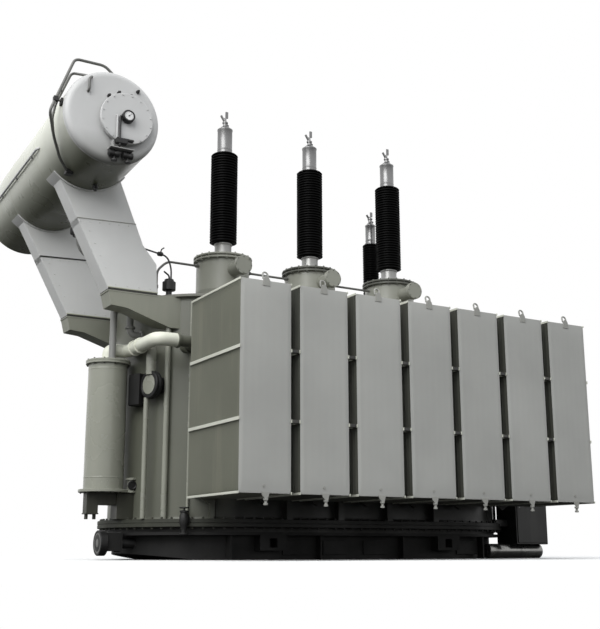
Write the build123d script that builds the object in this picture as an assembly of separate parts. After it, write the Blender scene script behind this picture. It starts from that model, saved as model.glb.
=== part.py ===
"""Oil-filled power transformer, as separately named pieces in one frame.

Millimetres, +Z up. The origin is on the floor under the centre of the tank. The radiators face -Y and
the conservator is carried beyond the tank's -X end.
"""
from build123d import *

import math
import os

os.makedirs("parts", exist_ok=True)

# Radiators: flat fins hung in rows on two headers
RADIATOR_COUNT = 7
FIN_WIDTH = 520.0
RADIATOR_GAP = 95.0
FIN_THICK = 10.0
FIN_PITCH = 45.0
FIN_COUNT = 25
HEADER_CENTRES = 1800.0
FIN_OVERHANG = 58.0
RADIATOR_LOW = 578.0
HEADER_SIDE = 80.0
RADIATOR_STANDOFF = 206.0
NECK_RADIUS = 50.0
NECK_SIDES = 6
NECK_FLANGE_RADIUS = 100.0
NECK_FLANGE_THICK = 40.0
BAR_THICK = 8.0
BAR_HEIGHT = 30.0
BAR_LEVELS = (0.336, 0.672)
LUG_WIDTH = 90.0
LUG_HEIGHT = 85.0
LUG_THICK = 16.0
LUG_HOLE_RADIUS = 20.0

# Tank: a straight middle with half-round ends, a bell bolted to a shallow bottom
TANK_WIDTH = 2140.0
TANK_LENGTH = 4766.0
BASE_HEIGHT = 240.0
BASE_INSET = 60.0
BASE_END_RISE = 63.0
BASE_END_RUN = 520.0
RING_REACH = 60.0
RING_THICK = 30.0
LOWER_TANK_HEIGHT = 45.0
FLANGE_REACH = 100.0
FLANGE_THICK = 80.0
COVER_TOP = 2680.0
COVER_THICK = 30.0
COVER_REACH = 50.0
RIB_WIDTH = 70.0
RIB_DEPTH = 90.0
PAD_WIDTH = 300.0
PAD_REACH = 130.0
PAD_HEIGHT = 150.0
PAD_SPACING = 2200.0
PAD_HOLE = 90.0

# High-voltage bushings on their turrets
PHASE_PITCH = 1172.0
TURRET_RADIUS = 306.0
TURRET_RIM_RADIUS = 340.0
TURRET_RIM_HEIGHT = 60.0
TURRET_HEIGHT = 705.0
TURRET_DOME_RADIUS = 230.0
TURRET_DOME_HEIGHT = 30.0
TURRET_NECK_RADIUS = 98.0
TURRET_NECK_HEIGHT = 162.0
NOZZLE_RADIUS = 80.0
NOZZLE_FLANGE_RADIUS = 105.0
NOZZLE_FLANGE_THICK = 60.0
NOZZLE_REACH = 550.0
NOZZLE_DROP = 193.0
BUSHING_HEIGHT = 1101.0
SHED_RADIUS = 159.0
SHED_CORE_RADIUS = 118.0
SHED_COUNT = 12
SHED_SIDES = 10
SHED_SHARE = 0.3
ROUND_SIDES = 16
TURRET_SIDES = 24
CAP_COLLAR_RADIUS = 100.0
CAP_COLLAR_HEIGHT = 43.0
CAP_RADIUS = 91.0
CAP_HEIGHT = 288.0
CAP_SHOULDER = 40.0
TERMINAL_RADIUS = 22.0
TERMINAL_HEIGHT = 160.0
TERMINAL_TIP = 40.0

# Neutral bushing, smaller and set back
NEUTRAL_X = 1323.0
NEUTRAL_INSET = 440.0
NEUTRAL_TURRET_RADIUS = 170.0
NEUTRAL_RIM_RADIUS = 215.0
NEUTRAL_TURRET_HEIGHT = 380.0
NEUTRAL_HEIGHT = 1045.0
NEUTRAL_SHED_RADIUS = 108.0
NEUTRAL_CORE_RADIUS = 78.0
NEUTRAL_SHED_COUNT = 12
NEUTRAL_CAP_RADIUS = 68.0
NEUTRAL_CAP_HEIGHT = 243.0

# Low-voltage bushings along the back of the cover
LOW_VOLTAGE_COUNT = 3
LOW_VOLTAGE_PITCH = 520.0
LOW_VOLTAGE_INSET = 310.0
LOW_VOLTAGE_HEIGHT = 360.0
LOW_VOLTAGE_RADIUS = 75.0
LOW_VOLTAGE_PLATE_RADIUS = 150.0

# Conservator: a round drum that slopes down to its far end
DRUM_OUT = 705.0
DRUM_RISE = 1410.0
DRUM_RADIUS = 475.0
DRUM_LENGTH = 3000.0
DRUM_WALL = 8.0
DRUM_SLOPE = 2.2
END_THICK = 12.0
END_DISH = 52.0
END_KNUCKLE = 65.0
MANHOLE_RADIUS = 262.0
MANHOLE_NECK_RADIUS = 225.0
MANHOLE_THICK = 38.0
MANHOLE_REACH = 120.0
MANHOLE_SIDES = 32
MANHOLE_X = 115.0
MANHOLE_Z = -27.0
GAUGE_RADIUS = 62.0
GAUGE_DEPTH = 75.0

# Arms and brackets that carry the conservator
ARM_SPACING = 1360.0
ARM_DEPTH = 240.0
ARM_FOOT_OUT = 429.0
ARM_FOOT_IN = -98.0
ARM_KNEE_HEIGHT = 320.0
ARM_SADDLE_OUT_ANGLE = 233.0
ARM_SADDLE_IN_ANGLE = -40.0
BRACKET_DEPTH_OUT = 160.0
BRACKET_DEPTH_IN = 330.0

# Guard rail round the conservator's near end
RAIL_RADIUS = 17.0
RAIL_BEND = 60.0
RAIL_TOP_GAP = 75.0
RAIL_SIDE_GAP = 121.0
RAIL_SET_BACK = 20.0
RAIL_SPACING = 210.0
RAIL_FOOT_REACH = 500.0
RAIL_FOOT_ANGLE = 239.5

# Oil filter beside the rounded end
FILTER_Y = -300.0
FILTER_CLEARANCE = 65.0
FILTER_RADIUS = 200.0
FILTER_LOW = 690.0
FILTER_HEIGHT = 1285.0
FILTER_LID_REACH = 29.0
FILTER_FOOT_REACH = 48.0
FILTER_PLATE = 30.0
FILTER_SIDES = 32
FILTER_LEG_WIDTH = 118.0
FILTER_LEG_GAP = 50.0
FILTER_PRONG_RADIUS = 18.0
FILTER_BEAM_HEIGHT = 125.0
FILTER_SHELF_REACH = 145.0
FILTER_SHELF_WIDTH = 180.0
FILTER_PIPE_RADIUS = 55.0
FILTER_PIPE_RISE = 120.0
FILTER_PIPE_GAP = 10.0
FILTER_VENT_RADIUS = 37.0
FILTER_VENT_SPREAD = 180.0
FILTER_VENT_DROP = 290.0

# Small fittings
PIPE_RADIUS = 14.0
OIL_PIPE_RADIUS = 45.0
OIL_PIPE_INSET = 250.0
OIL_PIPE_BEND = 110.0
RELAY_SIZE = 150.0
RISER_SPACING = 150.0
VALVE_RADIUS = 142.0
VALVE_THICK = 76.0
VALVE_STANDOFF = 75.0
VALVE_TURN = 15.0
VALVE_ANGLE = 37.5
VALVE_LEVEL = 0.813
VALVE_STEM_RADIUS = 60.0
DRAIN_ANGLE = 55.0
DRAIN_RISE = 75.0
DRAIN_REACH = 60.0
DRAIN_RADIUS = 38.0
COVER_VALVE_INSET = 283.0
COVER_VALVE_RADIUS = 70.0
COVER_VALVE_HEIGHT = 190.0
CABINET_SHARE = 0.84
CABINET_GAP = 45.0
SUPPORT_SIDE = 60.0
CABINET_WIDTH = 480.0
CABINET_DEPTH = 360.0
CABINET_LOW = 155.0
CABINET_HEIGHT = 1000.0
ROLLER_RADIUS = 82.0
ROLLER_LENGTH = 800.0
WHEEL_RADIUS = 125.0
WHEEL_THICK = 80.0
AXLE_RADIUS = 55.0
WHEEL_LIFT = 40.0

TANK_HALF_WIDTH = TANK_WIDTH / 2
TANK_HALF_STRAIGHT = (TANK_LENGTH - TANK_WIDTH) / 2
TANK_END_X = TANK_LENGTH / 2
RADIATOR_PITCH = FIN_WIDTH + RADIATOR_GAP
RADIATOR_DEPTH = FIN_PITCH * (FIN_COUNT - 1) + FIN_THICK
FIN_HEIGHT = HEADER_CENTRES + 2 * FIN_OVERHANG
FIN_BACK_Y = -TANK_HALF_WIDTH - RADIATOR_STANDOFF
FIN_FRONT_Y = FIN_BACK_Y - RADIATOR_DEPTH
LOW_HEADER_Z = RADIATOR_LOW + FIN_OVERHANG
HIGH_HEADER_Z = LOW_HEADER_Z + HEADER_CENTRES
RING_TOP = BASE_HEIGHT + RING_THICK
FLANGE_LOW = RING_TOP + LOWER_TANK_HEIGHT
BELL_LOW = FLANGE_LOW + FLANGE_THICK
COVER_LOW = COVER_TOP - COVER_THICK
RADIATOR_XS = [(n - (RADIATOR_COUNT - 1) / 2) * RADIATOR_PITCH for n in range(RADIATOR_COUNT)]
DRUM_X = -TANK_END_X - DRUM_OUT
DRUM_Z = COVER_TOP + DRUM_RISE
DRUM_HALF = DRUM_LENGTH / 2
nodes = {}


def block(x_span, y_span, z_span):
    """A box between the limits of each span."""
    middle = [(low + high) / 2 for low, high in (x_span, y_span, z_span)]
    size = [abs(high - low) for low, high in (x_span, y_span, z_span)]
    return Pos(*middle) * Box(*size)


def bar(start, end, radius, sides=0):
    """A bar between two points, round or with a few flat sides."""
    start, end = Vector(*start), Vector(*end)
    outline = RegularPolygon(radius, sides) if sides else Circle(radius)
    return extrude(Plane(origin=start, z_dir=end - start) * outline, (end - start).length)


def pipe(points, radius, bend, sides=6):
    """A pipe that follows the points, with its corners rounded."""
    path = FilletPolyline(*points, radius=bend)
    start = Plane(origin=path @ 0, z_dir=path % 0)
    return sweep(start * RegularPolygon(radius, sides), path=path)


def side_plate(outline, y_span):
    """A plate cut to an outline of (x, z) points, between two values of y."""
    face = make_face(Polyline(*[(x, y_span[0], z) for x, z in outline], close=True))
    return extrude(face, y_span[1] - y_span[0], dir=(0, 1, 0))


def oval(reach, low, high):
    """The tank's outline grown by reach, from one height to another."""
    width = TANK_WIDTH + 2 * reach
    outline = Plane.XY.offset(low) * SlotOverall(TANK_LENGTH + 2 * reach, width)
    return extrude(outline, high - low)


def wall_x(y, reach=0.0):
    """How far the rounded end reaches from the centre at this y."""
    return TANK_HALF_STRAIGHT + math.sqrt((TANK_HALF_WIDTH + reach) ** 2 - y ** 2)


def wall_y(x):
    """How far the tank's side reaches from the centre at this x."""
    beyond = max(0.0, abs(x) - TANK_HALF_STRAIGHT)
    return math.sqrt(TANK_HALF_WIDTH ** 2 - beyond ** 2)


def join(pieces):
    """Pieces fused into one solid."""
    return pieces[0].fuse(*pieces[1:]) if len(pieces) > 1 else pieces[0]


def group(pieces):
    """Like pieces that share one node."""
    return Compound(children=pieces)


def base_and_tank():
    """Base frame, lower tank, bell with its bolted flange, and the cover."""
    frame = oval(-BASE_INSET, 0, BASE_HEIGHT)
    for side in (-1, 1):
        end = side * (TANK_END_X - BASE_INSET)
        slope = [(end, 0), (end, BASE_END_RISE), (end - side * BASE_END_RUN, 0)]
        frame = frame - side_plate(slope, (-TANK_HALF_WIDTH, TANK_HALF_WIDTH))
    nodes["base_frame"] = frame.fuse(oval(RING_REACH, BASE_HEIGHT, RING_TOP))
    nodes["lower_tank"] = oval(0, RING_TOP, FLANGE_LOW)
    nodes["bell_flange"] = oval(FLANGE_REACH, FLANGE_LOW, BELL_LOW)
    nodes["bell_tank"] = oval(0, BELL_LOW, COVER_LOW)
    nodes["tank_cover"] = oval(COVER_REACH, COVER_LOW, COVER_TOP)


def tank_stiffeners():
    """Upright channels on the straight walls, one between each pair of radiators."""
    ribs = []
    for left, right in zip(RADIATOR_XS, RADIATOR_XS[1:]):
        x = (left + right) / 2
        if abs(x) > TANK_HALF_STRAIGHT:
            continue
        for side in (-1, 1):
            y_span = sorted((side * TANK_HALF_WIDTH, side * (TANK_HALF_WIDTH + RIB_DEPTH)))
            ribs.append(block((x - RIB_WIDTH / 2, x + RIB_WIDTH / 2), y_span, (BELL_LOW, COVER_LOW)))
    nodes["tank_stiffeners"] = group(ribs)


def jacking_pads():
    """Boxes on the base frame that a jack or a rope can take, each with a square hole."""
    pads = []
    for x in (-PAD_SPACING / 2, PAD_SPACING / 2):
        for side in (-1, 1):
            inner = side * (TANK_HALF_WIDTH - BASE_INSET)
            outer = inner + side * PAD_REACH
            top = BASE_HEIGHT
            pad = block((x - PAD_WIDTH / 2, x + PAD_WIDTH / 2), sorted((inner, outer)),
                        (top - PAD_HEIGHT, top))
            middle = top - PAD_HEIGHT / 2
            hole = block((x - PAD_HOLE / 2, x + PAD_HOLE / 2), sorted((inner, outer)),
                         (middle - PAD_HOLE / 2, middle + PAD_HOLE / 2))
            pads.append(pad - hole)
    nodes["jacking_pads"] = group(pads)


def radiator(x):
    """One radiator: parallel fins on a top and a bottom header, with a lifting lug."""
    half = HEADER_SIDE / 2
    pieces = [
        block((x - half, x + half), (FIN_FRONT_Y, FIN_BACK_Y + half), (z - half, z + half))
        for z in (LOW_HEADER_Z, HIGH_HEADER_Z)
    ]
    top = RADIATOR_LOW + FIN_HEIGHT
    for number in range(FIN_COUNT):
        y = FIN_FRONT_Y + number * FIN_PITCH
        pieces.append(block((x - FIN_WIDTH / 2, x + FIN_WIDTH / 2), (y, y + FIN_THICK),
                            (RADIATOR_LOW, top)))
    lug_y = FIN_FRONT_Y + FIN_THICK
    outline = [(x - LUG_WIDTH / 2, top - FIN_OVERHANG), (x + LUG_WIDTH / 2, top - FIN_OVERHANG),
               (x + LUG_WIDTH / 2, top), (x + LUG_HOLE_RADIUS, top + LUG_HEIGHT),
               (x - LUG_HOLE_RADIUS, top + LUG_HEIGHT), (x - LUG_WIDTH / 2, top)]
    lug = side_plate(outline, (lug_y, lug_y + LUG_THICK))
    eye_z = top + LUG_HEIGHT - 2 * LUG_HOLE_RADIUS
    eye = bar((x, lug_y - LUG_THICK, eye_z), (x, lug_y + 2 * LUG_THICK, eye_z), LUG_HOLE_RADIUS, 8)
    return join(pieces + [lug - eye])


def radiators():
    """The row of radiators, their necks on the tank wall and the flat bars across the fins."""
    necks, bars = [], []
    for number, x in enumerate(RADIATOR_XS, 1):
        nodes[f"radiator_{number}"] = radiator(x)
        neck_start = FIN_BACK_Y + HEADER_SIDE / 2
        flange_start = neck_start + NECK_FLANGE_THICK
        for z in (LOW_HEADER_Z, HIGH_HEADER_Z):
            neck_end = -wall_y(x) + NECK_RADIUS
            neck = bar((x, neck_start, z), (x, neck_end, z), NECK_RADIUS, NECK_SIDES)
            flange = bar((x, flange_start, z), (x, flange_start + NECK_FLANGE_THICK, z),
                         NECK_FLANGE_RADIUS, NECK_SIDES)
            necks.append(neck.fuse(flange) - nodes["bell_tank"])
        for share in BAR_LEVELS:
            z = RADIATOR_LOW + share * FIN_HEIGHT
            for side in (-1, 1):
                edge = x + side * FIN_WIDTH / 2
                bars.append(block(sorted((edge, edge + side * BAR_THICK)), (FIN_FRONT_Y, FIN_BACK_Y),
                                  (z - BAR_HEIGHT / 2, z + BAR_HEIGHT / 2)))
    nodes["radiator_necks"] = group(necks)
    nodes["radiator_bars"] = group(bars)


def shed_column(x, y, low, height, core, rim, count):
    """An insulator: a core with a stack of shed rings."""
    pitch = height / count
    pieces = [bar((x, y, low), (x, y, low + height), core, SHED_SIDES)]
    for ring in range(count):
        z = low + (ring + (1 - SHED_SHARE) / 2) * pitch
        pieces.append(bar((x, y, z), (x, y, z + SHED_SHARE * pitch), rim, SHED_SIDES))
    return join(pieces)


def stack(x, y, low, steps, sides=ROUND_SIDES):
    """A column of flat-sided discs, given as (radius, height) steps from the bottom up."""
    pieces = []
    for radius, height in steps:
        pieces.append(bar((x, y, low), (x, y, low + height), radius, sides))
        low += height
    return join(pieces)


def cap(x, y, low, collar, body, body_height):
    """The metal head of a bushing, with its terminal rod."""
    share = body / CAP_RADIUS
    return stack(x, y, low, [
        (collar, CAP_COLLAR_HEIGHT), (body, body_height), (body / 2, CAP_SHOULDER),
        (TERMINAL_RADIUS * share, TERMINAL_HEIGHT * share + TERMINAL_TIP)])


def high_voltage():
    """Three turrets on the cover, each with its bushing and a side nozzle to the front."""
    caps = []
    rim_top = COVER_TOP + TURRET_HEIGHT
    neck_low = rim_top + TURRET_DOME_HEIGHT
    shed_low = neck_low + TURRET_NECK_HEIGHT
    nozzle_z = rim_top - NOZZLE_DROP
    for number in (1, 2, 3):
        x = (number - 2) * PHASE_PITCH
        body = stack(x, 0, COVER_TOP, [
            (TURRET_RADIUS, TURRET_HEIGHT - TURRET_RIM_HEIGHT), (TURRET_RIM_RADIUS, TURRET_RIM_HEIGHT),
            (TURRET_DOME_RADIUS, TURRET_DOME_HEIGHT), (TURRET_NECK_RADIUS, TURRET_NECK_HEIGHT)],
            TURRET_SIDES)
        end = (x, -NOZZLE_REACH, nozzle_z)
        nozzle = bar((x, 0, nozzle_z), end, NOZZLE_RADIUS, ROUND_SIDES)
        blank = bar((x, NOZZLE_FLANGE_THICK - NOZZLE_REACH, nozzle_z), end, NOZZLE_FLANGE_RADIUS,
                    ROUND_SIDES)
        nodes[f"turret_{number}"] = body.fuse(nozzle, blank)
        nodes[f"bushing_{number}"] = shed_column(
            x, 0, shed_low, BUSHING_HEIGHT, SHED_CORE_RADIUS, SHED_RADIUS, SHED_COUNT)
        caps.append(cap(x, 0, shed_low + BUSHING_HEIGHT, CAP_COLLAR_RADIUS, CAP_RADIUS, CAP_HEIGHT))
    nodes["bushing_caps"] = group(caps)


def neutral():
    """The neutral bushing on its own small turret."""
    y = TANK_HALF_WIDTH - NEUTRAL_INSET
    turret_top = COVER_TOP + NEUTRAL_TURRET_HEIGHT
    nodes["neutral_turret"] = stack(NEUTRAL_X, y, COVER_TOP, [
        (NEUTRAL_TURRET_RADIUS, NEUTRAL_TURRET_HEIGHT - COVER_THICK), (NEUTRAL_RIM_RADIUS, COVER_THICK)])
    nodes["neutral_bushing"] = shed_column(
        NEUTRAL_X, y, turret_top, NEUTRAL_HEIGHT, NEUTRAL_CORE_RADIUS, NEUTRAL_SHED_RADIUS,
        NEUTRAL_SHED_COUNT)
    nodes["neutral_cap"] = cap(NEUTRAL_X, y, turret_top + NEUTRAL_HEIGHT,
                               NEUTRAL_CORE_RADIUS, NEUTRAL_CAP_RADIUS, NEUTRAL_CAP_HEIGHT)


def low_voltage():
    """Short low-voltage bushings on round plates along the back of the cover."""
    y = TANK_HALF_WIDTH - LOW_VOLTAGE_INSET
    pieces = []
    for number in range(LOW_VOLTAGE_COUNT):
        x = (number - (LOW_VOLTAGE_COUNT - 1) / 2) * LOW_VOLTAGE_PITCH
        pieces.append(stack(x, y, COVER_TOP, [
            (LOW_VOLTAGE_PLATE_RADIUS, COVER_THICK),
            (LOW_VOLTAGE_RADIUS, LOW_VOLTAGE_HEIGHT - COVER_THICK),
            (TERMINAL_RADIUS, 4 * TERMINAL_RADIUS)]))
    nodes["low_voltage_bushings"] = group(pieces)


def drum_place(shape):
    """Put a shape that was drawn on a level drum at the origin on the real, sloping drum."""
    return Pos(DRUM_X, 0, DRUM_Z) * Rot(-DRUM_SLOPE, 0, 0) * shape


def dished_end(side):
    """A shallow end with a sloping knuckle, its rim on the shell's end and its crown outwards."""
    crown = DRUM_HALF + END_DISH
    profile = [(0, DRUM_HALF - END_THICK), (DRUM_RADIUS, DRUM_HALF - END_THICK), (DRUM_RADIUS, DRUM_HALF),
               (DRUM_RADIUS - END_KNUCKLE, crown), (0, crown)]
    outline = [(radius, side * reach) for radius, reach in profile]
    return revolve(make_face(Polyline(*outline, close=True)), Axis.Y)


def conservator():
    """The drum with its two ends, the manhole and level gauge on the near end."""
    length = DRUM_HALF - END_THICK
    outer = bar((0, -length, 0), (0, length, 0), DRUM_RADIUS)
    inner = bar((0, -length, 0), (0, length, 0), DRUM_RADIUS - DRUM_WALL)
    nodes["conservator_shell"] = drum_place(outer - inner)
    nodes["conservator_near_end"] = drum_place(dished_end(-1))
    nodes["conservator_far_end"] = drum_place(dished_end(1))
    face = -DRUM_HALF - MANHOLE_REACH
    seat = (MANHOLE_X, -DRUM_HALF - END_DISH, MANHOLE_Z)
    front = (MANHOLE_X, face, MANHOLE_Z)
    neck = bar(seat, front, MANHOLE_NECK_RADIUS, MANHOLE_SIDES)
    plate = bar((MANHOLE_X, face + MANHOLE_THICK, MANHOLE_Z), front, MANHOLE_RADIUS, MANHOLE_SIDES)
    nodes["conservator_cover"] = drum_place(neck.fuse(plate))
    gauge = bar(front, (MANHOLE_X, face - GAUGE_DEPTH, MANHOLE_Z), GAUGE_RADIUS, ROUND_SIDES)
    nodes["level_gauge"] = drum_place(gauge)


def arms():
    """Two cranked box arms under the drum and the brackets that they stand on."""
    foot_out = -TANK_END_X - ARM_FOOT_OUT
    foot_in = -TANK_END_X - ARM_FOOT_IN
    top = COVER_LOW
    drum = drum_place(bar((0, -DRUM_HALF, 0), (0, DRUM_HALF, 0), DRUM_RADIUS))
    arm_pieces, bracket_pieces = [], []
    for side in (-1, 1):
        y = side * ARM_SPACING / 2
        centre_z = DRUM_Z - y * math.tan(math.radians(DRUM_SLOPE))
        saddle = []
        for angle in (ARM_SADDLE_IN_ANGLE, ARM_SADDLE_OUT_ANGLE):
            reach = DRUM_RADIUS + DRUM_WALL
            saddle.append((DRUM_X + reach * math.cos(math.radians(angle)),
                           centre_z + reach * math.sin(math.radians(angle))))
        knee = (foot_in - 0.06 * ARM_KNEE_HEIGHT, top + ARM_KNEE_HEIGHT)
        turn = (foot_in - 0.54 * ARM_KNEE_HEIGHT, top + 1.58 * ARM_KNEE_HEIGHT)
        outline = [(foot_out, top), (foot_in, top), knee, turn, saddle[0], (DRUM_X, centre_z), saddle[1]]
        span = (y - ARM_DEPTH / 2, y + ARM_DEPTH / 2)
        arm_pieces.append(side_plate(outline, span) - drum)
        wall = -wall_x(abs(y))
        outline = [(foot_out, top), (foot_out + 0.25 * BRACKET_DEPTH_OUT, top - BRACKET_DEPTH_OUT),
                   (foot_out + 1.3 * BRACKET_DEPTH_OUT, top - 1.1 * BRACKET_DEPTH_OUT),
                   (wall, top - BRACKET_DEPTH_IN), (wall + ARM_DEPTH, top - BRACKET_DEPTH_IN),
                   (wall + ARM_DEPTH, top)]
        bracket_pieces.append(side_plate(outline, span) - nodes["bell_tank"])
    nodes["conservator_arms"] = group(arm_pieces)
    nodes["arm_brackets"] = group(bracket_pieces)


def guard_rail():
    """Two bent tubes over the near end, from the drum's top round to its underside."""
    near = RAIL_SET_BACK - DRUM_HALF
    back = near + RAIL_SPACING
    foot_turn = math.radians(RAIL_FOOT_ANGLE)
    foot_reach = DRUM_RADIUS - RAIL_RADIUS
    foot = (foot_reach * math.cos(foot_turn), RAIL_FOOT_REACH - DRUM_HALF, foot_reach * math.sin(foot_turn))
    top = DRUM_RADIUS + RAIL_TOP_GAP
    outer_x = -DRUM_RADIUS - RAIL_SIDE_GAP
    inner_x = -DRUM_RADIUS - RAIL_RADIUS
    outer = pipe([(0.06 * DRUM_RADIUS, near, DRUM_RADIUS - RAIL_RADIUS), (-0.16 * DRUM_RADIUS, near, top),
                  (0.63 * outer_x, near, top), (outer_x, near, -0.10 * DRUM_RADIUS), foot],
                 RAIL_RADIUS, RAIL_BEND)
    inner = pipe([(-0.36 * DRUM_RADIUS, back, 0.85 * DRUM_RADIUS), (-0.36 * DRUM_RADIUS, back, top),
                  (0.72 * inner_x, back, top), (inner_x, back, 0.35 * DRUM_RADIUS), foot],
                 RAIL_RADIUS, RAIL_BEND)
    drum = bar((0, -DRUM_HALF, 0), (0, DRUM_HALF, 0), DRUM_RADIUS)
    nodes["guard_rail"] = drum_place(outer.fuse(inner) - drum)


def oil_pipe():
    """The pipe from the drum's underside through the gas relay down to the cover."""
    drum_low = DRUM_Z - DRUM_RADIUS
    start = (DRUM_X + 2 * OIL_PIPE_RADIUS, 0, drum_low + OIL_PIPE_RADIUS)
    relay = (start[0] + 2 * OIL_PIPE_RADIUS, 0, drum_low - RELAY_SIZE)
    knee = (relay[0] + OIL_PIPE_RADIUS, 0, relay[2] - 1.5 * RELAY_SIZE)
    end_x = -TANK_END_X + OIL_PIPE_INSET
    drum = drum_place(bar((0, -DRUM_HALF, 0), (0, DRUM_HALF, 0), DRUM_RADIUS))
    route = pipe([start, relay, knee, (end_x, 0, COVER_TOP + OIL_PIPE_INSET), (end_x, 0, COVER_TOP)],
                 OIL_PIPE_RADIUS, OIL_PIPE_BEND)
    half = RELAY_SIZE / 2
    housing = block((relay[0] - half, relay[0] + half), (-half, half),
                    (relay[2] - half, relay[2] + half))
    nodes["gas_relay"] = housing
    nodes["oil_pipe"] = route - drum - housing


def filter_unit():
    """The oil filter: a closed cylinder with a lid, a foot on a leg and a shelf, and its pipes."""
    tank = nodes["bell_tank"]
    wall = -wall_x(FILTER_Y)
    x = wall - FILTER_CLEARANCE - FILTER_RADIUS
    high = FILTER_LOW + FILTER_HEIGHT
    lid_top = high + FILTER_PLATE
    foot_low = FILTER_LOW - FILTER_PLATE
    centre = [(x, FILTER_Y, z) for z in (foot_low, FILTER_LOW, high, lid_top)]
    nodes["filter_body"] = bar(centre[1], centre[2], FILTER_RADIUS, FILTER_SIDES)
    lid = bar(centre[2], centre[3], FILTER_RADIUS + FILTER_LID_REACH, FILTER_SIDES)
    foot = bar(centre[0], centre[1], FILTER_RADIUS + FILTER_FOOT_REACH, FILTER_SIDES)
    nodes["filter_flanges"] = group([lid, foot])

    leg_low = BELL_LOW + FILTER_LEG_GAP
    leg_left = x + FILTER_LEG_GAP / 3 - FILTER_RADIUS
    leg_right = leg_left + FILTER_LEG_WIDTH
    half = FILTER_LEG_WIDTH / 2
    leg_y = (FILTER_Y - half, FILTER_Y + half)
    shelf_y = (FILTER_Y - FILTER_SHELF_WIDTH / 2, FILTER_Y + FILTER_SHELF_WIDTH / 2)
    shelf_left = wall - FILTER_SHELF_REACH
    shelf_right = wall + FILTER_SHELF_REACH
    beam_low = foot_low - FILTER_BEAM_HEIGHT
    supports = [block((leg_left, leg_right), leg_y, (leg_low, foot_low)),
                block((leg_right, shelf_left), leg_y, (beam_low, foot_low)),
                block((shelf_left, shelf_right), shelf_y, (BELL_LOW, foot_low))]
    for prong_x in (leg_left + FILTER_PRONG_RADIUS, leg_right - FILTER_PRONG_RADIUS):
        supports.append(bar((prong_x, FILTER_Y, BELL_LOW), (prong_x, FILTER_Y, leg_low),
                            FILTER_PRONG_RADIUS, NECK_SIDES))
    low_run = join(supports) - tank

    high_z = lid_top + FILTER_PIPE_RISE
    front_y = -TANK_HALF_WIDTH - FILTER_PIPE_RADIUS - FILTER_PIPE_GAP
    side_x = x + FILTER_RADIUS
    turn_x = -TANK_HALF_STRAIGHT - 0.62 * TANK_HALF_WIDTH
    high_run = pipe([centre[3], (x, FILTER_Y, high_z), (side_x, FILTER_Y - FILTER_PIPE_GAP, high_z),
                     (side_x, front_y, high_z), (turn_x, front_y, high_z),
                     (turn_x, FILTER_PIPE_GAP - wall_y(turn_x), high_z)],
                    FILTER_PIPE_RADIUS, 1.4 * FILTER_PIPE_RADIUS)
    vent_y = FILTER_Y - 2 * FILTER_PIPE_RADIUS
    vent_top = COVER_LOW - 2 * FILTER_VENT_RADIUS
    vent_low = vent_top - FILTER_VENT_DROP
    vent = pipe([(x, vent_y, lid_top), (x, vent_y, vent_top), (x + FILTER_VENT_SPREAD, vent_y, vent_top),
                 (x + FILTER_VENT_SPREAD, vent_y, vent_low),
                 (FILTER_VENT_RADIUS - wall_x(vent_y), vent_y, vent_low)],
                FILTER_VENT_RADIUS, 2 * FILTER_VENT_RADIUS)
    nodes["filter_pipes"] = group([low_run, high_run - tank, vent - tank])


def on_end(angle, reach, z):
    """A point round the -X end, by its angle from -X towards -Y and its distance from the wall."""
    radius = TANK_HALF_WIDTH + reach
    turn = math.radians(angle)
    return (-TANK_HALF_STRAIGHT - radius * math.cos(turn), -radius * math.sin(turn), z)


def round_valve():
    """The round valve that faces the near end, on a stem from the tank wall."""
    z = FILTER_LOW + VALVE_LEVEL * FILTER_HEIGHT
    turn = math.radians(VALVE_TURN)
    away = Vector(-math.cos(turn), -math.sin(turn), 0)
    seat = Vector(*on_end(VALVE_ANGLE, 0, z))
    back = seat + away * VALVE_STANDOFF
    front = back + away * VALVE_THICK
    stem = bar(tuple(seat - away * VALVE_THICK), tuple(front), VALVE_STEM_RADIUS, ROUND_SIDES)
    wheel = bar(tuple(back), tuple(front), VALVE_RADIUS, ROUND_SIDES)
    nodes["round_valve"] = stem.fuse(wheel) - nodes["bell_tank"]


def drain_and_cover_valves():
    """The drain valve low on the near end and the valve on the cover."""
    z = BELL_LOW + DRAIN_RISE
    reach = FLANGE_REACH + DRAIN_REACH
    wall = on_end(DRAIN_ANGLE, -DRAIN_RADIUS, z)
    stub = bar(wall, on_end(DRAIN_ANGLE, reach, z), DRAIN_RADIUS, NECK_SIDES)
    body = bar(on_end(DRAIN_ANGLE, reach, BASE_HEIGHT), on_end(DRAIN_ANGLE, reach, z + DRAIN_RADIUS),
               1.2 * DRAIN_RADIUS, NECK_SIDES)
    radius = COVER_VALVE_RADIUS
    column = stack(COVER_VALVE_INSET - TANK_END_X, -0.61 * TANK_HALF_WIDTH, COVER_TOP, [
        (0.45 * radius, radius), (radius, COVER_VALVE_HEIGHT - 1.4 * radius), (0.7 * radius, 0.4 * radius)])
    nodes["valves"] = group([stub.fuse(body) - nodes["bell_tank"], column])


def gas_pipe():
    """The thin pipe that links the turrets and runs down to the cover behind the oil pipe."""
    z = COVER_TOP + TURRET_HEIGHT - 2 * TURRET_RIM_HEIGHT
    riser_x = -TANK_END_X + OIL_PIPE_INSET + RISER_SPACING
    rise = 2 * TURRET_RIM_HEIGHT
    runs = [pipe([(riser_x, 0, COVER_TOP), (riser_x, 0, z - rise), (riser_x + rise, 0, z),
                  (-PHASE_PITCH, 0, z)], PIPE_RADIUS, rise / 3)]
    for start in (-PHASE_PITCH, 0):
        runs.append(bar((start, 0, z), (start + PHASE_PITCH, 0, z), PIPE_RADIUS, 6))
    turrets = [nodes[f"turret_{number}"] for number in (1, 2, 3)]
    nodes["gas_pipe"] = group([run - turrets for run in runs])


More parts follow.
